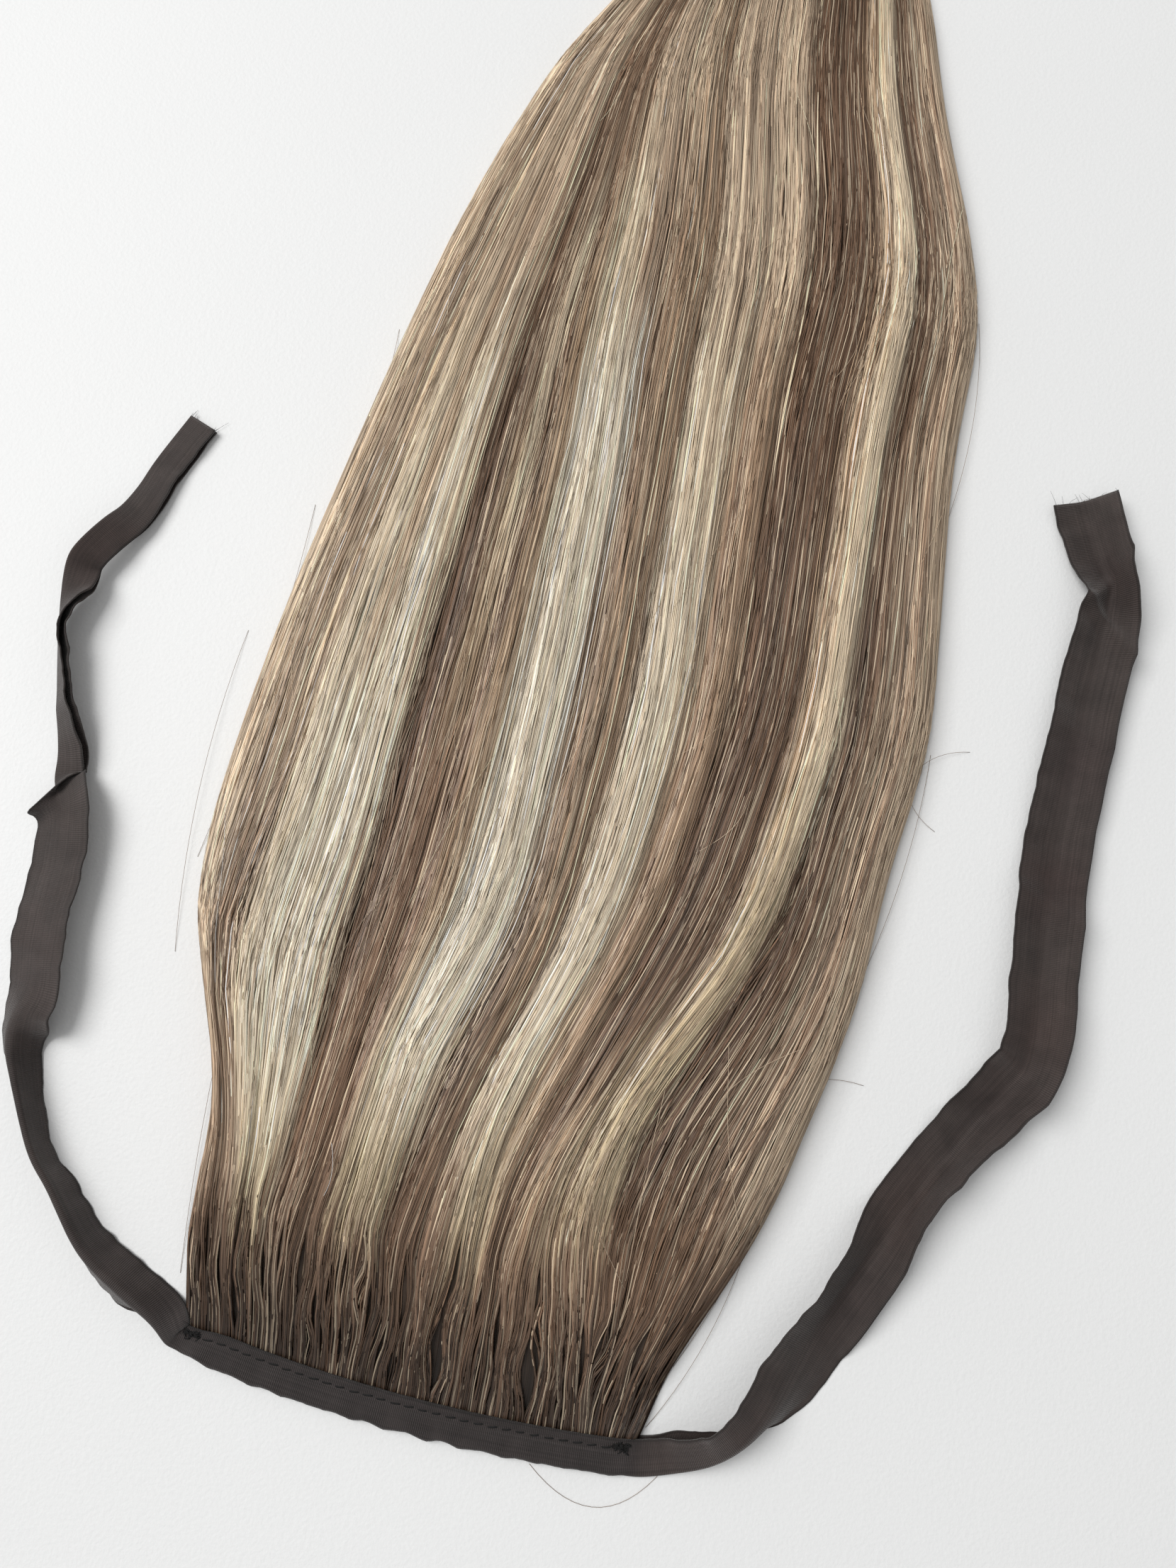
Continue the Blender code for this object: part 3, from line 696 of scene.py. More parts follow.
def ribbon_material(settings):
    """Grosgrain: raised ribs across the ribbon at their real pitch, with painted light on their crests,
    fine warp threads over them, a plain selvedge at both edges, faint lengthwise streaks of painted sheen
    that also vary the roughness, and a soft sheen. The map runs in millimetres along and across the ribbon."""
    finish = Finish("grosgrain", settings.colour, 0.62)
    finish.shader.inputs["Sheen Weight"].default_value = 0.22
    finish.shader.inputs["Sheen Roughness"].default_value = 0.4
    finish.shader.inputs["Specular IOR Level"].default_value = 0.32
    place, along, across = finish.mapped()
    weave = finish.noise(place, (1.1, 2.5, 1.0))
    wobble = finish.maths("MULTIPLY_ADD", weave, 0.22, along)
    rib = finish.ripple(wobble, settings.rib_pitch / MM)
    warp = finish.ripple(across, WARP_PITCH)
    woven = finish.maths("MULTIPLY_ADD", finish.times(rib, warp), 0.18, rib)
    half = settings.width / MM / 2
    edge = finish.ranged(finish.maths("ABSOLUTE", across), half - 0.9, half - 0.5, 0.0, 1.0)
    finish.bumped(finish.times(woven, finish.ranged(edge, 0.0, 1.0, 1.0, 0.35)), 0.00009, 0.85)
    # Lengthwise streaks: in the colour they are painted sheen, and they also vary the roughness
    sheen_streaks = finish.noise(place, (0.02, 1.6, 1.0), 3.0)
    wear = finish.noise(place, (0.12, 0.12, 1.0), 4.0, 0.6)
    # Painted light on the ribs: the colour is lighter on their crests and darker between them, besides
    # their bump
    shade = finish.maths("MULTIPLY_ADD", rib, 0.17, 1.0)
    shade = finish.times(shade, finish.ranged(sheen_streaks, 0.25, 0.75, 0.74, 1.26))
    shade = finish.times(shade, finish.ranged(wear, 0.3, 0.7, 0.8, 1.2))
    shade = finish.times(shade, finish.ranged(edge, 0.0, 1.0, 1.0, 0.5))
    own = finish.nodes.new("ShaderNodeVectorMath")
    own.operation = "MULTIPLY"
    own.inputs[0].default_value = tuple(settings.colour)
    finish.links.new(finish.tint(), own.inputs[1])
    finish.coloured(own.outputs["Vector"], shade)
    finish.feed("Roughness", finish.ranged(sheen_streaks, 0.2, 0.8, 0.70, 0.52))
    return finish.material


def thread_material(settings):
    """Black sewing thread: slanting plies as bump, along and round the thread's own map, with painted light
    on the plies' crests and painted shade between them.
    """
    finish = Finish("sewing_thread", settings.thread_colour, 0.6)
    _, along, around = finish.mapped()
    slant = finish.maths("MULTIPLY_ADD", around, 6.0, along)
    ply = finish.maths("SINE", finish.times(slant, 9.0))
    finish.bumped(ply, 0.00005)
    # Painted light and shade: the thread is lighter on the plies' crests and darker between them
    finish.coloured(tuple(settings.thread_colour), finish.ranged(ply, -1.0, 1.0, 0.7, 1.5))
    return finish.material


def hair_material(name, roughness, fine):
    """Hair: each strand's own tint, faint lengthwise changes of shade, and a gloss whose roughness changes
    slowly along the hair. On the bed under them the strands are drawn by a noise stretched along the hair."""
    finish = Finish(name, (0.3, 0.22, 0.16), roughness)
    finish.shader.inputs["Specular IOR Level"].default_value = 0.42
    place = finish.mapped()[0]
    slow = finish.noise(place, (40.0, 0.02, 1.0), 3.0)
    shade = finish.ranged(slow, 0.25, 0.75, 0.84, 1.16)
    if fine:
        drawn = finish.noise(place, (520.0, 0.012, 1.0), 2.0)
        # Painted shade: the bed's drawn strands are darker in the grooves between them
        shade = finish.times(shade, finish.ranged(drawn, 0.3, 0.7, 0.45, 1.05))
        finish.bumped(drawn, 0.0006, 0.8)
    finish.coloured(finish.tint(), shade)
    finish.feed("Roughness", finish.ranged(slow, 0.2, 0.8, roughness - 0.06, roughness + 0.08))
    return finish.material


def table_material(settings):
    """A pale moulded table top: a fine raised grain, and very slight changes of shade."""
    finish = Finish("table_top", settings.table_colour, 0.55)
    place = finish.nodes.new("ShaderNodeTexCoord").outputs["Object"]
    grain = finish.noise(place, (820.0, 820.0, 820.0), 3.0, 0.55)
    coarse = finish.noise(place, (260.0, 260.0, 260.0), 2.0)
    finish.bumped(finish.maths("MULTIPLY_ADD", coarse, 0.5, grain), 0.00035, 0.35)
    slow = finish.noise(place, (5.0, 5.0, 5.0), 2.0)
    light = finish.ranged(slow, 0.3, 0.7, 0.985, 1.012)
    shade = finish.times(light, finish.ranged(grain, 0.3, 0.7, 0.985, 1.01))
    finish.coloured(tuple(settings.table_colour), shade)
    return finish.material


def band_line(x):
    """The band sags in a shallow curve, the square of the distance from its middle."""
    return BAND_CENTRE + BAND_SAG * (x / BAND_HALF) ** 2


def band_height(x):
    """The fold rises towards the left end, so the band is narrower there."""
    near_end = np.clip((LEFT_END_LENGTH - BAND_HALF - x) / LEFT_END_LENGTH, 0, 1)
    return BAND_HEIGHT - LEFT_END_NARROWER * near_end**2


def tie_stations(table, count):
    """The tie's fold line, the tilts of its halves and the length of its fold's bend, read from
    smooth curves through its table."""
    knots = np.arange(len(table), dtype=float)
    at = np.linspace(0, len(table) - 1, count)
    rows = np.stack([through(knots, column(table, TIE_COLUMNS, name), at) for name in TIE_COLUMNS])
    openness = np.clip(1 - np.abs(rows[3] - rows[4] - 180) / 180, 0, 1)
    return np.vstack([rows, TIGHT_FOLD + (OPEN_FOLD - TIGHT_FOLD) * openness, np.zeros(count)])


def band_stations(count):
    """The same for the band: its fold is the lower edge, both halves lie level, and the weft between
    them keeps them apart. The last row is 1 on the band and 0 off it."""
    x = np.linspace(-BAND_HALF + 0.5, BAND_HALF - 0.5, count)
    low = band_line(x) - band_height(x) / 2
    closing = eased(np.abs(x), BAND_HALF - 9, BAND_HALF)
    bend = BAND_FOLD + (TIGHT_FOLD + 0.2 - BAND_FOLD) * closing
    height = CLOTH_REST + bend * 2 / np.pi
    front = 1.0 + 7.0 * closing
    return np.stack([x, low, height, front, 0 * x, bend, 1 - closing])


def ribbon_path():
    """The whole ribbon from its left cut end, through the band, to its right cut end, at equal
    steps along the fold line, with the joins between the three tables smoothed."""
    rows = np.concatenate(
        [tie_stations(LEFT_TIE, 500)[:, ::-1], band_stations(300), tie_stations(RIGHT_TIE, 500)], axis=1
    )
    along = np.concatenate([[0], np.cumsum(np.linalg.norm(np.diff(rows[:3], axis=1), axis=0))])
    at = np.linspace(0, along[-1], int(along[-1] / STATION_STEP) + 1)
    rows = np.stack([np.interp(at, along, row) for row in rows])
    kernel = np.exp(-0.5 * (np.arange(-SMOOTHED_OVER, SMOOTHED_OVER + 1) / SMOOTHED_BY) ** 2)
    kernel /= kernel.sum()
    padded = np.pad(rows, ((0, 0), (SMOOTHED_OVER,) * 2), mode="reflect", reflect_type="odd")
    return at, np.stack([np.convolve(row, kernel, mode="valid") for row in padded])


def ribbon_middle(settings):
    """The middle surface of the ribbon. Across each station the cloth's direction turns from its
    back half to its front half in a short bend at the fold, and is summed up into points. Slow
    waves tilt the free halves, gathers ripple the band's front, and a stitch row presses it down."""
    at, (x, y, z, front, back, bend, banded) = ribbon_path()
    free = 1 - banded
    z = z - FOLD_LOWERED * free
    front = front + free * (3.0 * waves(at, 4, 46, 3) + 1.4 * waves(at, 3, 11, 4))
    back = back + free * (1.6 * waves(at, 4, 38, 5) + 0.8 * waves(at, 3, 9, 6))
    ahead = unit(np.stack([np.gradient(x), np.gradient(y)], axis=1))
    inward = np.stack([-ahead[:, 1], ahead[:, 0]], axis=1)
    half = settings.width / MM / 2
    reach = np.linspace(-1, 1, CLOTH_ACROSS)
    width = half * np.sign(reach) * np.abs(reach) ** 1.6
    width = np.sort(np.concatenate([width, [-half + EDGE_ROW, half - EDGE_ROW]]))
    middle = (width[1:] + width[:-1]) / 2
    turn = front - (back + 180)
    share = (np.clip(middle[None, :] / bend[:, None], -1, 1) + 1) / 2
    curl = free[:, None] * 7.0 * waves(at, 4, 30, 8)[:, None] * (np.abs(middle) / half)[None, :] ** 2
    heading = np.radians(back[:, None] + 180 + turn[:, None] * share + curl)
    step = np.diff(width)[None, :]
    sideways = np.cumsum(np.pad(np.cos(heading) * step, ((0, 0), (1, 0))), axis=1)
    upwards = np.cumsum(np.pad(np.sin(heading) * step, ((0, 0), (1, 0))), axis=1)
    fold = int(np.argmin(np.abs(width)))
    sideways -= sideways[:, fold : fold + 1]
    upwards -= upwards[:, fold : fold + 1]

    pinch = 1 - 0.2 * np.exp(-(((x + 67) / 7) ** 2))
    sideways = sideways * pinch[:, None]
    apart = np.hypot(x - PRESSED_AT[0], y - PRESSED_AT[1])
    pressed_down = PRESSED_BY * np.exp(-((apart / PRESSED_REACH) ** 2))
    upwards = upwards * (1 - pressed_down[:, None] * (width < 0)[None, :])
    for crease_x, crease_y, height, reach_along, slant in CREASES:
        place = at[int(np.argmin((x - crease_x) ** 2 + (y - crease_y) ** 2))]
        near = np.abs(at[:, None] - place - slant * width[None, :]) / reach_along
        upwards = upwards + height * np.clip(1 - near, 0, 1) ** 1.3
    gather = np.sin(np.pi * GATHERS * x / BAND_HALF) * np.cos(np.pi * x / BAND_HALF / 2.1)
    ripple = 0.55 * gather + 0.42 * waves(x, 4, 13, 11)
    on_front = np.exp(-(((width[None, :] - 3.5) / 3.2) ** 2)) * banded[:, None]
    upwards = upwards + on_front * ripple[:, None] * 0.8
    sideways = sideways + banded[:, None] * (0.8 * ripple)[:, None] * np.exp(-np.abs(width) / 4)[None, :]
    row = half - STITCH_ROW
    pressed = np.exp(-(((width[None, :] - row) / 0.9) ** 2)) * banded[:, None]
    along_row = 0.75 + 0.25 * np.cos(2 * np.pi * x / (settings.stitch_pitch / MM))
    upwards = upwards - 0.45 * pressed * along_row[:, None]
    frill = np.exp(-((half - width[None, :]) / 1.1)) * banded[:, None]
    upwards = upwards + 0.16 * frill * np.sin(2 * np.pi * x / 1.05)[:, None]

    points = np.empty((*sideways.shape, 3))
    points[:, :, 0] = x[:, None] + inward[:, 0:1] * sideways
    points[:, :, 1] = y[:, None] + inward[:, 1:2] * sideways
    points[:, :, 2] = np.maximum(z[:, None] + upwards, CLOTH_REST)
    return at, width, points


def ribbon_tone_and_painted_shading(points):
    """The ribbon's tone factors: the band is darker all over, and round each charted place a factor of
    painted light or shade eases in as a bell curve of the distance from it."""
    x, y = points[..., 0], points[..., 1]
    banded = (1 - eased(np.abs(x), BAND_HALF - 5, BAND_HALF + 3)) * (1 - eased(y, 12, 20))
    tone = 1 + (np.array(BAND_TONE) - 1) * banded[..., None]
    for place_x, place_y, reach, factor in RIBBON_PAINTED_LIGHT_AND_SHADE:
        near = np.exp(-((x - place_x) ** 2 + (y - place_y) ** 2) / reach**2) * (1 - banded)
        tone = tone * (1 + (np.array(factor) - 1) * near[..., None])
    return tone.reshape(-1, 3)


def surface_normal(points):
    """The direction square to a grid of points, from its differences both ways."""
    return unit(np.cross(np.gradient(points, axis=0), np.gradient(points, axis=1)))


def hair_place(line, along):
    """Where a flow line lies across the hair, from 0 to 1: cubic along the hair and straight
    between neighbouring lines. Past either edge it runs on at the same pace."""
    knots = np.array([row[0] for row in FLOW], float)
    at = np.stack([through(knots, np.array(values), along) for values in list(zip(*FLOW))[1:]], -1)
    lines = np.array(FLOW_LINES)
    index = np.clip(np.searchsorted(lines, line) - 1, 0, len(lines) - 2)
    low = np.take_along_axis(at, index[..., None], -1)[..., 0]
    high = np.take_along_axis(at, index[..., None] + 1, -1)[..., 0]
    part = (line - lines[index]) / (lines[index + 1] - lines[index])
    return np.where(line < 0, line, np.where(line > 1, line, low + (high - low) * part))


def hair_point(line, along, lift):
    """A point of the hair at a flow line and a distance along it. It lies between the edges of the
    outline, as high as a flat-topped mound with the locks on it, plus the lift. Past an edge the
    surface turns down to the table."""
    knots = column(HAIR_SECTIONS, HAIR_COLUMNS, "along")
    left, right, crown = (
        through(knots, column(HAIR_SECTIONS, HAIR_COLUMNS, name), along) for name in HAIR_COLUMNS[1:]
    )
    place = hair_place(line, along)
    inside = np.clip(place, 0, 1)
    over = place - inside
    nearing_end = eased(along, HAIR_LENGTH - TIP_LENGTH - 14, HAIR_LENGTH)
    x = left + (0.5 + (inside - 0.5) * (1 - 0.2 * nearing_end)) * (right - left)
    x = x + np.sign(over) * 1.2 * np.sin(np.clip(np.abs(over) / 0.03, 0, 1) * np.pi / 2)
    bow = (band_line(x) - band_line(0)) * np.clip(1 - along / HAIR_LENGTH * 3, 0, 1)
    mound = np.sqrt(np.clip(1 - (2 * inside - 1) ** 4, 0, 1))
    z = crown * (EDGE_FLATNESS + (1 - EDGE_FLATNESS) * mound)
    leaving = np.clip((along - HAIR_START) / LEAVING_LENGTH, 0, 1)
    z = ROOT_HEIGHT + (z - ROOT_HEIGHT) * np.sqrt(leaving)
    for from_line, to_line, rise, begins, ends in LOCKS:
        across = (line - (from_line + to_line) / 2) / ((to_line - from_line) / 2)
        growing = np.sqrt(np.clip((along - begins) / LEAVING_LENGTH, 0, 1))
        ending = np.clip((ends - along) / TIP_LENGTH, 0, 1)
        z = z + np.clip(1 - across**2, 0, 1) * rise * growing * ending
    z = z * (1 - (1 - END_HEIGHT) * nearing_end)
    drop = np.clip(np.abs(over) / 0.03, 0, 1)
    z = z * (1 - drop) + 0.25 * drop + lift * (1 - 0.6 * drop)
    return np.stack([x, along + bow, z], axis=-1)


def hair_tint(line, along):
    """The hair's colour: every streak of the chart is laid over the ones before it, with soft
    edges across and along, on hair that darkens towards the weft."""
    deep, root = linear(TONES["deep"]), linear(TONES["root"])
    colour = deep + (root - deep) * eased(along, *ROOT_FADE)[..., None]
    for from_line, to_line, begins, ends, tone, share in STREAKS:
        across = eased(line, from_line - STREAK_BLUR, from_line + STREAK_BLUR)
        across = across * eased(-line, -to_line - STREAK_BLUR, -to_line + STREAK_BLUR)
        length = eased(along, begins - FADE_IN, begins + FADE_IN)
        length = length * eased(-along, -ends - FADE_OUT, -ends + FADE_OUT)
        colour = colour + (linear(TONES[tone]) - colour) * (share * across * length)[..., None]
    return colour


def hair_bed(material):
    """The bed under the strands: the hair's surface a little lower, over the whole outline, closed
    by a flat underside."""
    line = np.concatenate([[-0.028], np.linspace(-0.012, 1.012, BED_ACROSS), [1.028]])
    along = 3 + (HAIR_LENGTH - 14) * np.linspace(0, 1, BED_STATIONS) ** 1.2
    lines, alongs = np.meshgrid(line, along)
    top = hair_point(lines, alongs, BED_LIFT)
    top[:, :, 2] = np.maximum(top[:, :, 2], BED_LEAST)
    under = top[:, ::-1].copy()
    lift = 1 - np.clip((along - HAIR_START) / LEAVING_LENGTH, 0, 1)
    under[:, :, 2] = np.minimum(0.12 + 1.0 * lift[:, None], under[:, :, 2] - 0.2)
    rings = np.concatenate([top, under], axis=1)
    uv = np.stack([np.concatenate([lines, lines[:, ::-1]], 1), np.concatenate([alongs, alongs], 1)], -1)
    # The bed is painted darker than the hair over it: painted shade under and between the strands
    tint = hair_tint(lines, alongs) * BED_PAINTED_SHADE
    tint = np.concatenate([tint, tint[:, ::-1]], axis=1)
    rows, around = rings.shape[:2]
    quads = np.concatenate([grid_quads(rows, around, True), strip_ends(rows, around)])
    uv, tint = uv.reshape(-1, 2), tint.reshape(-1, 3)
    return mesh_object("hair_bed", rings.reshape(-1, 3), quads, [], material, uv, tint)


def bent_near_weft(line, along):
    """Shifts flow lines as the swerves and partings say: each swerve moves the lines round its own
    below its stretch, and each parting pushes lines away from its own, most in its middle."""
    moved = line
    for own, shift, width, begins, ends in SWERVES:
        moved = moved + shift * np.exp(-(((line - own) / width) ** 2)) * (1 - eased(along, begins, ends))
    for own, middle, reach, push in PARTINGS:
        near = np.clip(1 - ((along - middle) / reach) ** 2, 0, 1)
        moved = moved + push * near * np.tanh((line - own) / 0.002) * np.exp(-np.abs(line - own) / 0.016)
    return moved


def evenly_by_weft(place):
    """The flow lines that lie at these places across the hair where it leaves the weft, so that
    strands spread evenly there, and not as the lines crowd or thin out."""
    knots = np.array([row[0] for row in FLOW], float)
    at = np.array([ROOT_SPREAD_AT])
    places = [through(knots, np.array(values), at)[0] for values in list(zip(*FLOW))[1:]]
    inside = np.clip(place, 0, 1)
    return np.interp(inside, places, FLOW_LINES) + place - inside


def strand_lines(count, low, high, seed, starts, reach, stations, spread):
    """Strands between two flow lines. They belong to wisps, which draw them together and wander, and
    near the weft to clumps of uneven width as well. Each has its own lift, length and tint."""
    drawn = np.random.default_rng(seed)
    wisps = max(8, int(count / STRANDS_A_WISP))
    wisp_line = low + (high - low) * (np.arange(wisps) + drawn.uniform(0, 1, wisps)) / wisps
    wisp = drawn.integers(0, wisps, count)
    own = drawn.normal(0, 0.5 * (high - low) / wisps + 0.0020, count)
    if starts[0] < HAIR_START:
        wisp_line = evenly_by_weft(wisp_line)
    part = np.linspace(0, 1, stations)[None, :]
    first = drawn.uniform(*starts, count)[:, None]
    length = drawn.uniform(*reach, count)[:, None]
    along = first + (length - first) * part**spread
    phase = drawn.uniform(0, 2 * np.pi, (wisps, 3))
    pull = 0.75 + 0.35 * np.sin(2 * np.pi * along / 170 + phase[wisp, 0:1])
    wander = 0.0022 * np.sin(2 * np.pi * along / 120 + phase[wisp, 1:2])
    wander += 0.0012 * np.sin(2 * np.pi * along / 47 + phase[wisp, 2:3])
    wander += 0.0007 * np.sin(2 * np.pi * along / 31 + drawn.uniform(0, 2 * np.pi, count)[:, None])
    line = wisp_line[wisp][:, None] + own[:, None] * pull + wander * eased(along, 12, 90)

    near_weft = 1 - eased(along, 26, 62)
    straight = line
    edges = np.sort(np.random.default_rng(CLUMP_SEED).uniform(-0.03, 1.03, CLUMPS))
    nearest = np.argmin(np.abs(line[:, :1] - edges[None, :]), axis=1)
    gather = 0.16 + 0.12 * np.sin(2 * np.pi * along / 34 + nearest[:, None] * 1.9)
    line = line + (edges[nearest][:, None] - line) * gather * near_weft * eased(along, 4, 14)
    wiggle = 0.0026 * np.sin(2 * np.pi * along / 27 + nearest[:, None] * 2.4)
    wiggle = wiggle + 0.0012 * np.sin(2 * np.pi * along / 23 + own[:, None] * 900)
    line = bent_near_weft(line + wiggle * near_weft * eased(along, 5, 14), along)

    lift = drawn.uniform(-0.4, 0.35, count)[:, None]
    lift = lift + 0.3 * np.sin(2 * np.pi * along / 90 + phase[wisp, 1:2]) * eased(along, 30, 80)
    crimp = np.sin(2 * np.pi * (along + 5 * np.sin(line * 23) + 3 * np.sin(line * 61)) / 21 + 1.0)
    lift = lift + 0.55 * crimp * near_weft * eased(along, 6, 16)
    dive = eased(part, 0.0, 0.05) if starts[0] > 10 else 1 - eased(part, 0.6, 1.0)
    lift = lift - 1.1 * (1 - dive)
    flying = drawn.uniform(0, 1, count) > FLYING_FROM
    cross = drawn.uniform(-0.03, 0.03, count)[:, None] * eased(along, 60, 420)
    line = line + cross * flying[:, None]
    lift = lift + flying[:, None] * drawn.uniform(0.3, 1.3, count)[:, None] * np.sin(np.pi * part)

    shifted = along + drawn.normal(0, 9, count)[:, None]
    tint = hair_tint(straight + drawn.normal(0, 0.007, count)[:, None], shifted)
    shade = np.exp(drawn.normal(0, 0.17, wisps))[wisp] * np.exp(drawn.normal(0, 0.26, count))
    other = drawn.uniform(0, 1, count)
    light, dark = linear(TONES["cream"]), linear(TONES["dark"])
    grown = 0.5 + 0.5 * eased(along, 30, 95)[..., None]
    tint = tint + (light - tint) * (MIXED_IN * (other > LIGHT_FROM))[:, None, None] * grown
    tint = tint + (dark - tint) * (MIXED_IN * (other < DARK_BELOW))[:, None, None] * grown
    return line, along, lift, np.clip(tint * shade[:, None, None], *TINT_LIMITS), flying


def strand_piece(name, count, low, high, seed, starts, reach, stations, spread, width, material, settings):
    """Every strand is a three-cornered tube carried along its line of the hair's surface, level side
    down, that thins out over its last stretch."""
    line, along, lift, tint, flying = strand_lines(count, low, high, seed, starts, reach, stations, spread)
    width = width * settings.strand_width / MM
    drawn = np.random.default_rng(seed + 900)
    path = hair_point(line, along, lift + 0.05)
    path[:, :, 2] = np.maximum(path[:, :, 2], 0.3)
    beside = hair_point(line + 0.004, along, lift + 0.05)
    side = unit(beside - path)
    ahead = unit(np.gradient(path, axis=1))
    up = unit(np.cross(side, ahead))
    side = unit(np.cross(ahead, up))
    size = width * drawn.uniform(0.6, 1.35, count) * np.where(flying, 0.6, 1.0)
    taper = 1 - 0.8 * eased(np.linspace(0, 1, stations), 0.8, 1.0)
    half = size[:, None] / 2 * taper[None, :]
    points, quads, ends = carried_profile(path, side, up, half * 1.15, half * 0.9, 3)
    uv = np.stack([np.broadcast_to(drawn.uniform(0, 50, count)[:, None], along.shape), along], -1)
    uv = np.repeat(uv.reshape(-1, 2), 3, axis=0)
    tint = np.repeat(tint.reshape(-1, 3), 3, axis=0) * settings.brightness
    return finish_piece(mesh_object(name, points, quads, ends, material, uv, tint), "hair")


def finish_piece(obj, slot, *nodes):
    """Says what a piece rides on, and hides the CAD nodes that it stands for. Its slot is not used."""
    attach(obj, "root")
    if nodes:
        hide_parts(*nodes)
    return obj


class HAIRPIECE_OT_ribbon(bpy.types.Operator):
    """Makes the whole ribbon as one sheet: the left tie, the folded band and the right tie"""

    bl_idname = "hairpiece.ribbon"
    bl_label = "Ribbon"

    def execute(self, context):
        settings = context.scene.hairpiece_ribbon
        at, width, middle = ribbon_middle(settings)
        normal = surface_normal(middle)
        half = settings.width / MM / 2
        thick = settings.thickness / MM / 2 * (1 + 0.45 * np.exp(-((half - np.abs(width)) / 0.35) ** 2))
        upper = middle + normal * thick[None, :, None]
        lower = middle - normal * thick[None, :, None]
        rings = np.concatenate([upper, lower[:, ::-1]], axis=1)
        rings[:, :, 2] = np.maximum(rings[:, :, 2], 0.02)
        rows, around = rings.shape[:2]
        across = np.concatenate([width, width[::-1]])
        uv = np.stack(np.broadcast_arrays(at[:, None], across[None, :]), -1)
        quads = np.concatenate([grid_quads(rows, around, True), strip_ends(rows, around)])
        # The ribbon's tint carries the band's darker tone and the painted light and shade of the ties
        uv, tone = uv.reshape(-1, 2), ribbon_tone_and_painted_shading(rings)
        material = ribbon_material(settings)
        ribbon = mesh_object("ribbon", rings.reshape(-1, 3), quads, [], material, uv, tone)
        finish_piece(ribbon, "ribbon", "band", "left_tie", "right_tie")
        return {"FINISHED"}


def on_ribbon(middle, x, width, across):
    """The point of the ribbon's middle surface nearest to a place along the band, at a distance
    across it, and the direction square to the cloth there."""
    normal = surface_normal(middle)
    fold = int(np.argmin(np.abs(width)))
    banded = np.flatnonzero(np.abs(middle[:, fold, 0]) < BAND_HALF + 6)
    banded = banded[np.argsort(middle[banded, fold, 0])]
    station = np.interp(x, middle[banded, fold, 0], banded)
    low = np.clip(station.astype(int), 0, len(middle) - 2)
    part = (station - low)[:, None]
    place = np.interp(across, width, np.arange(len(width)))
    column_low = np.clip(place.astype(int), 0, len(width) - 2)
    side = (place - column_low)[:, None]

    def blend(grid):
        near = grid[low, column_low] * (1 - side) + grid[low, column_low + 1] * side
        far = grid[low + 1, column_low] * (1 - side) + grid[low + 1, column_low + 1] * side
        return near * (1 - part) + far * part

    return blend(middle), unit(blend(normal))


def tubes(name, path, radius, sides, first, second, material, tint=None):
    """Round tubes along the paths, with the two coordinates of their map spread over them."""
    side, up = tube_frames(path)
    points, quads, ends = carried_profile(path, side, up, radius, radius, sides)
    shape = (*path.shape[:2], sides)
    uv = np.stack([np.broadcast_to(first, shape), np.broadcast_to(second, shape)], -1).reshape(-1, 2)
    return mesh_object(name, points, quads, ends, material, uv, tint)


def over_cloth(middle, x, width, across, rise):
    """Paths over the band's front: the points of the cloth there, raised square to it."""
    point, square = on_ribbon(middle, x.reshape(-1), width, across.reshape(-1))
    point, square = point.reshape(*x.shape, 3), square.reshape(*x.shape, 3)
    return point + square * np.sign(square[:, :, 2:3]) * rise[:, :, None]


def sewn_row(middle, width, half, pitch, drawn):
    """The row of stitches: each is a low arch, half a sine wave high, and slants a little."""
    start = np.arange(-62.5, 61.5, pitch)
    count = len(start)
    part = np.linspace(0, 1, STITCH_STATIONS)[None, :]
    length = drawn.uniform(2.5, 3.1, count)[:, None]
    x = start[:, None] + length * part
    slant = drawn.normal(0.16, 0.05, count)[:, None] * (part - 0.5) * length
    across = half - STITCH_ROW + slant + drawn.normal(0, 0.08, count)[:, None]
    rise = 0.34 * np.sin(np.pi * part) ** 0.5 - 0.12
    return over_cloth(middle, x, width, across, rise)


def back_tack(middle, width, half, middle_x, spread, number, drawn):
    """A knot of short threads in all directions round one end of the row, drawn round its middle."""
    part = np.linspace(0, 1, STITCH_STATIONS)[None, :]
    centre = drawn.normal(0, 1, (number, 2)) * [spread / 2, 0.75]
    turn = drawn.normal(0.1, 0.7, number)
    reach = drawn.uniform(0.9, 2.3, number)
    x = middle_x + centre[:, 0:1] + np.cos(turn)[:, None] * reach[:, None] * (part - 0.5)
    across = half - 2.3 + centre[:, 1:2] + np.sin(turn)[:, None] * reach[:, None] * (part - 0.5)
    across = np.clip(across, half - 5.0, half - 0.1)
    height = drawn.uniform(0.2, 0.8, number)[:, None] * np.sin(np.pi * part) ** 0.6
    return over_cloth(middle, x, width, across, height)


def frayed_threads(middle, width, end, inner, number, drawn):
    """Short threads that leave a cut end straight and bend away as the square of their length."""
    across = np.sort(drawn.uniform(0, 1, number))
    index = (across * (len(width) - 1)).astype(int)
    root = middle[end, index]
    out = unit(middle[end, index] - middle[inner, index])
    bend = drawn.normal(0, 0.7, (number, 3)) * [1, 1, 0.15]
    reach = drawn.uniform(0.6, 2.6, number)[:, None, None]
    part = np.linspace(0, 1, FRAY_STATIONS)[None, :, None]
    grown = reach * part * (out[:, None, :] + bend[:, None, :] * part)
    strand = root[:, None, :] - out[:, None, :] * 0.3 + grown
    strand[:, :, 2] = np.maximum(strand[:, :, 2], 0.15)
    return strand


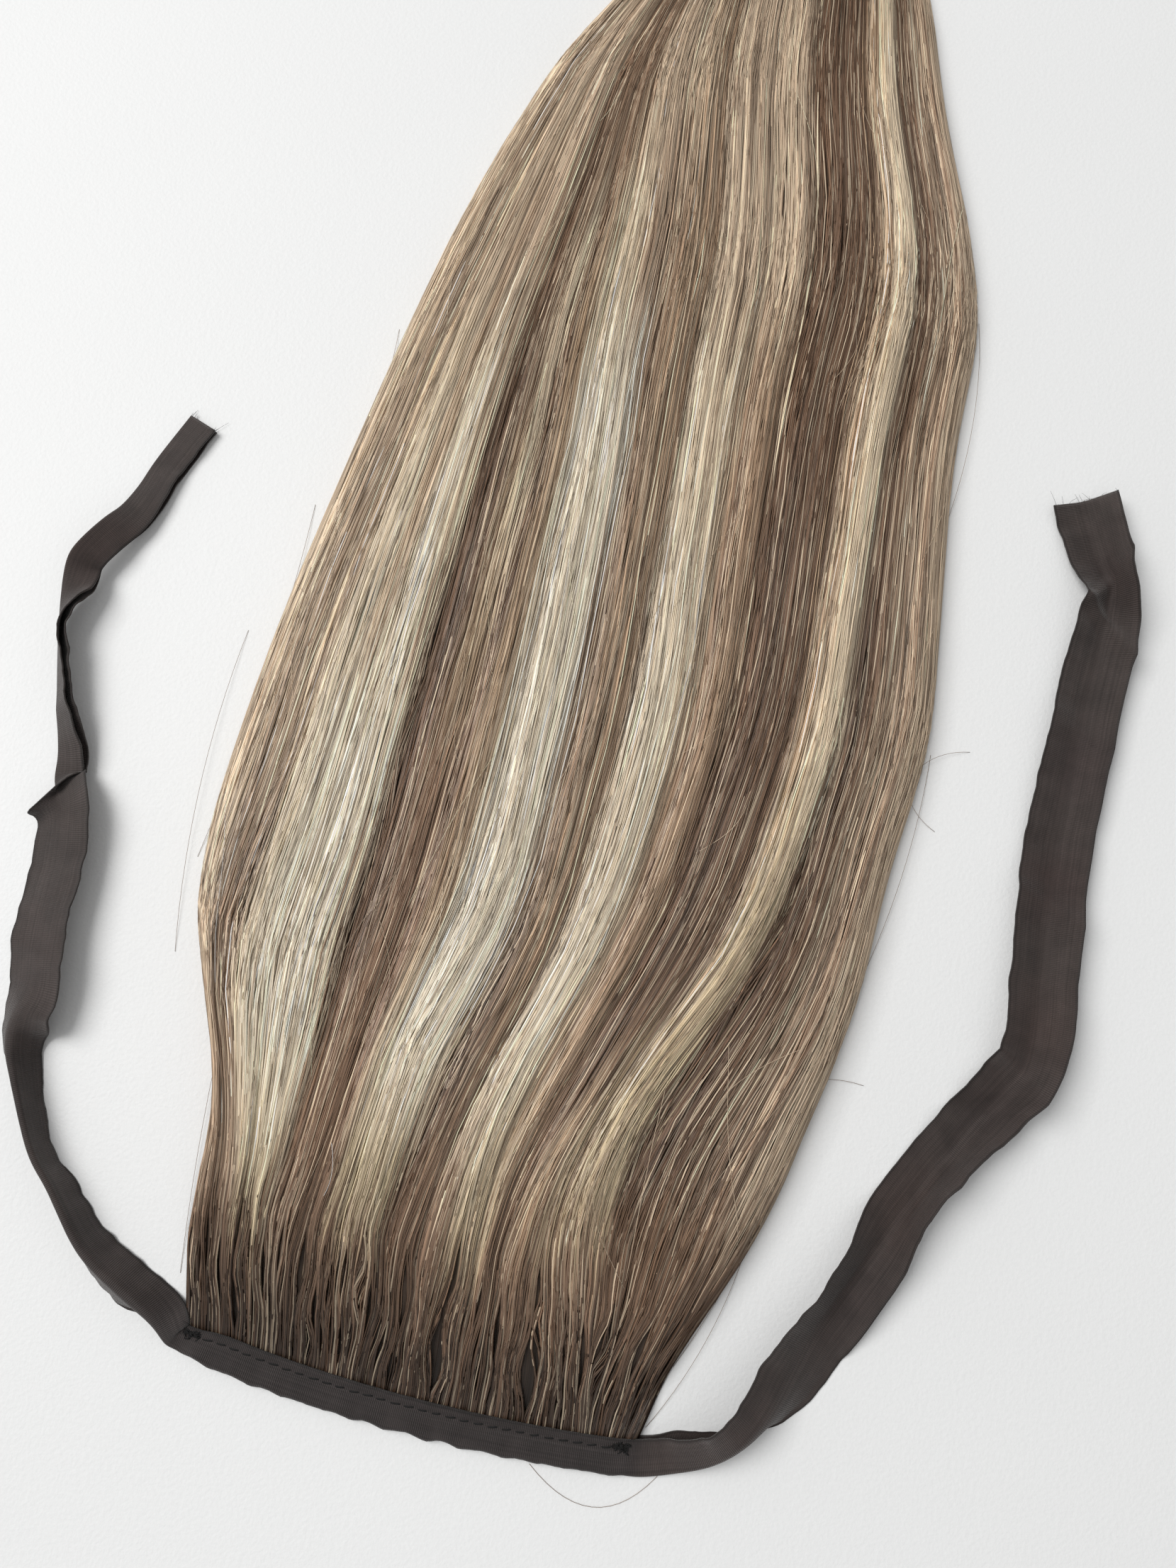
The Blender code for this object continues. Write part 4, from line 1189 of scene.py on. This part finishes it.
class HAIRPIECE_OT_stitching(bpy.types.Operator):
    """Sews the row of stitches along the band, the knots at both its ends and the frayed cut ends"""

    bl_idname = "hairpiece.stitching"
    bl_label = "Stitching"

    def execute(self, context):
        settings = context.scene.hairpiece_ribbon
        _, width, middle = ribbon_middle(settings)
        drawn = np.random.default_rng(21)
        half = settings.width / MM / 2
        row = sewn_row(middle, width, half, settings.stitch_pitch / MM, drawn)
        knots = [back_tack(middle, width, half, *knot, drawn) for knot in BACK_TACKS]
        path = np.concatenate([row] + knots)
        radius = np.full(path.shape[:2], settings.thread_width / MM / 2)
        radius[len(row) :] *= 0.62
        steps = np.linalg.norm(np.diff(path, axis=1), axis=2)
        run = np.cumsum(np.pad(steps, ((0, 0), (1, 0))), axis=1)[:, :, None]
        stitches = tubes("stitches", path, radius, 6, run, np.arange(6) / 6, thread_material(settings))
        finish_piece(stitches, "ribbon")

        path = np.concatenate([frayed_threads(middle, width, *fray, drawn) for fray in FRAYS])
        taper = 1 - 0.5 * np.linspace(0, 1, FRAY_STATIONS)[None, :]
        radius = np.full(path.shape[:2], 0.06) * taper
        run = np.arange(float(FRAY_STATIONS))[None, :, None]
        frayed = tubes("frayed_ends", path, radius, 4, run, np.arange(4) / 4, thread_material(settings))
        finish_piece(frayed, "ribbon")
        return {"FINISHED"}


class HAIRPIECE_OT_hair(bpy.types.Operator):
    """Makes the bed of the hair and the strands over it, from the left edge to the right"""

    bl_idname = "hairpiece.hair"
    bl_label = "Hair"

    def execute(self, context):
        settings = context.scene.hairpiece_hair
        bed = hair_bed(hair_material("hair_bed", 0.5, True))
        finish_piece(bed, "hair", "hair")
        material = hair_material("hair_strands", 0.3, False)
        names = ("left_edge", "left", "middle", "right", "right_edge")
        edges = (-0.024, 0.20, 0.40, 0.60, 0.80, 1.024)
        ends = (0.93 * HAIR_LENGTH, HAIR_LENGTH)
        for number, name in enumerate(names):
            low, high = edges[number : number + 2]
            shape = (low, high, 40 + number, (30.0, 62.0), ends, 22, 1.25, 1.08)
            strand_piece(f"hair_{name}", settings.strands, *shape, material, settings)
        for name, low, high, seed in (("left", -0.02, 0.5, 61), ("right", 0.5, 1.02, 62)):
            shape = (low, high, seed, (2.5, 3.5), (70.0, 118.0), 20, 1.1, 1.7)
            strand_piece(f"hair_by_weft_{name}", settings.root_strands, *shape, material, settings)
        return {"FINISHED"}


class HAIRPIECE_OT_stray_hairs(bpy.types.Operator):
    """Lays the single hairs that have worked loose round the edges and over the top"""

    bl_idname = "hairpiece.stray_hairs"
    bl_label = "Stray hairs"

    def execute(self, context):
        settings = context.scene.hairpiece_hair
        drawn = np.random.default_rng(77)
        x1, y1, x2, y2, bow, rise = (column(STRAYS, STRAY_COLUMNS, name)[:, None] for name in STRAY_COLUMNS)
        part = np.linspace(0, 1, 16)[None, :]
        span = np.hypot(x2 - x1, y2 - y1)
        belly = 4 * part * (1 - part)
        x = x1 + (x2 - x1) * part - (y2 - y1) / span * bow * belly
        y = y1 + (y2 - y1) * part + (x2 - x1) / span * bow * belly
        laid = np.stack([x, y, 0.15 + rise * belly], axis=-1)

        number = FLYAWAYS
        start = drawn.uniform(40, 420, number)[:, None]
        length = drawn.uniform(14, 70, number)[:, None]
        line = drawn.uniform(-0.01, 1.01, number)[:, None]
        line = line + drawn.normal(0, 0.035, number)[:, None] * part
        line = line + drawn.normal(0, 0.012, number)[:, None] * belly
        along = start + length * part
        lift = 0.35 + drawn.uniform(0.1, 1.6, number)[:, None] * np.sin(np.pi * part)
        over = hair_point(np.clip(line, -0.02, 1.02), along, lift)
        path = np.concatenate([laid, over])
        radius = np.full(path.shape[:2], settings.stray_width / MM / 2)
        shade = linear(TONES["beige"]) * np.exp(drawn.normal(0, 0.35, len(path)))[:, None]
        shade[: len(laid)] = linear(TONES["brown"]) * 0.8
        tint = np.clip(np.repeat(shade, path.shape[1] * 4, axis=0), 0, 0.8)
        own = np.arange(len(path))[:, None, None] / 7
        material = hair_material("stray_hair", 0.34, False)
        strays = tubes("stray_hairs", path, radius, 4, own, part[:, :, None] * 60, material, tint)
        finish_piece(strays, "hair")
        return {"FINISHED"}


class HAIRPIECE_OT_stage(bpy.types.Operator):
    """Lays the table, sets the soft light and places the camera"""

    bl_idname = "hairpiece.stage"
    bl_label = "Stage"

    def execute(self, context):
        settings = context.scene.hairpiece_stage
        corner = np.array([[-1, -1], [1, -1], [1, 1], [-1, 1]]) * TABLE_HALF
        points = np.concatenate([corner, np.zeros((4, 1))], axis=1)
        table = mesh_object("table_top", points, np.array([[0, 1, 2, 3]]), [], table_material(settings))

        world = bpy.data.worlds.new("studio")
        world.use_nodes = True
        background = world.node_tree.nodes["Background"]
        background.inputs["Color"].default_value = ROOM_COLOUR
        background.inputs["Strength"].default_value = settings.room_strength
        context.scene.world = world

        lamp = bpy.data.lights.new("window", "AREA")
        lamp.shape = "RECTANGLE"
        lamp.size, lamp.size_y = WINDOW_SIZE, WINDOW_SIZE
        lamp.energy = settings.window_power
        lamp.color = WINDOW_COLOUR
        window = bpy.data.objects.new("window", lamp)
        context.scene.collection.objects.link(window)
        target = Vector(WINDOW_TOWARDS)
        window.location = target + Vector(WINDOW_FROM)
        window.rotation_euler = (target - window.location).to_track_quat("-Z", "Y").to_euler()

        tilt, turn = np.radians(CAMERA_TILT), np.radians(CAMERA_TURN)
        right = Vector((np.cos(turn), np.sin(turn), 0.0))
        forward_level = Vector((-np.sin(turn), np.cos(turn), 0.0))
        look = forward_level * float(np.sin(tilt)) + Vector((0, 0, -float(np.cos(tilt))))
        above = right.cross(look)
        lens = bpy.data.cameras.new("camera")
        lens.sensor_fit = "AUTO"
        lens.sensor_width = 36.0
        lens.lens = 36.0 * FOCAL_PIXELS / PHOTO_HEIGHT
        lens.clip_start = 0.01
        camera = bpy.data.objects.new("camera", lens)
        camera.matrix_world = Matrix(
            (
                (right.x, above.x, -look.x, CAMERA_AT[0]),
                (right.y, above.y, -look.y, CAMERA_AT[1]),
                (right.z, above.z, -look.z, CAMERA_AT[2]),
                (0, 0, 0, 1),
            )
        )
        context.scene.collection.objects.link(camera)
        context.scene.camera = camera
        context.scene.view_settings.view_transform = "Standard"
        return {"FINISHED"}


class HAIRPIECE_PT_panel(bpy.types.Panel):
    """Lists the pieces, their sizes and their colours"""

    bl_idname = "HAIRPIECE_PT_panel"
    bl_label = "Ponytail hairpiece"
    bl_space_type = "VIEW_3D"
    bl_region_type = "UI"
    bl_category = "Hairpiece"

    def draw(self, context):
        for operator in PIECES:
            self.layout.operator(operator.bl_idname)
        for group in ("hairpiece_ribbon", "hairpiece_hair", "hairpiece_stage"):
            settings = getattr(context.scene, group)
            box = self.layout.box()
            for name in settings.__annotations__:
                box.prop(settings, name)


PIECES = (
    HAIRPIECE_OT_ribbon,
    HAIRPIECE_OT_stitching,
    HAIRPIECE_OT_hair,
    HAIRPIECE_OT_stray_hairs,
    HAIRPIECE_OT_stage,
)
CLASSES = (RibbonSettings, HairSettings, StageSettings, *PIECES, HAIRPIECE_PT_panel)


def register():
    for item in CLASSES:
        bpy.utils.register_class(item)
    bpy.types.Scene.hairpiece_ribbon = bpy.props.PointerProperty(type=RibbonSettings)
    bpy.types.Scene.hairpiece_hair = bpy.props.PointerProperty(type=HairSettings)
    bpy.types.Scene.hairpiece_stage = bpy.props.PointerProperty(type=StageSettings)


def unregister():
    del bpy.types.Scene.hairpiece_stage
    del bpy.types.Scene.hairpiece_hair
    del bpy.types.Scene.hairpiece_ribbon
    for item in reversed(CLASSES):
        bpy.utils.unregister_class(item)


def main():
    """Makes the pieces and the stage in order."""
    register()
    bpy.ops.hairpiece.ribbon()
    bpy.ops.hairpiece.stitching()
    bpy.ops.hairpiece.hair()
    bpy.ops.hairpiece.stray_hairs()
    bpy.ops.hairpiece.stage()


if __name__ == "__main__":
    main()
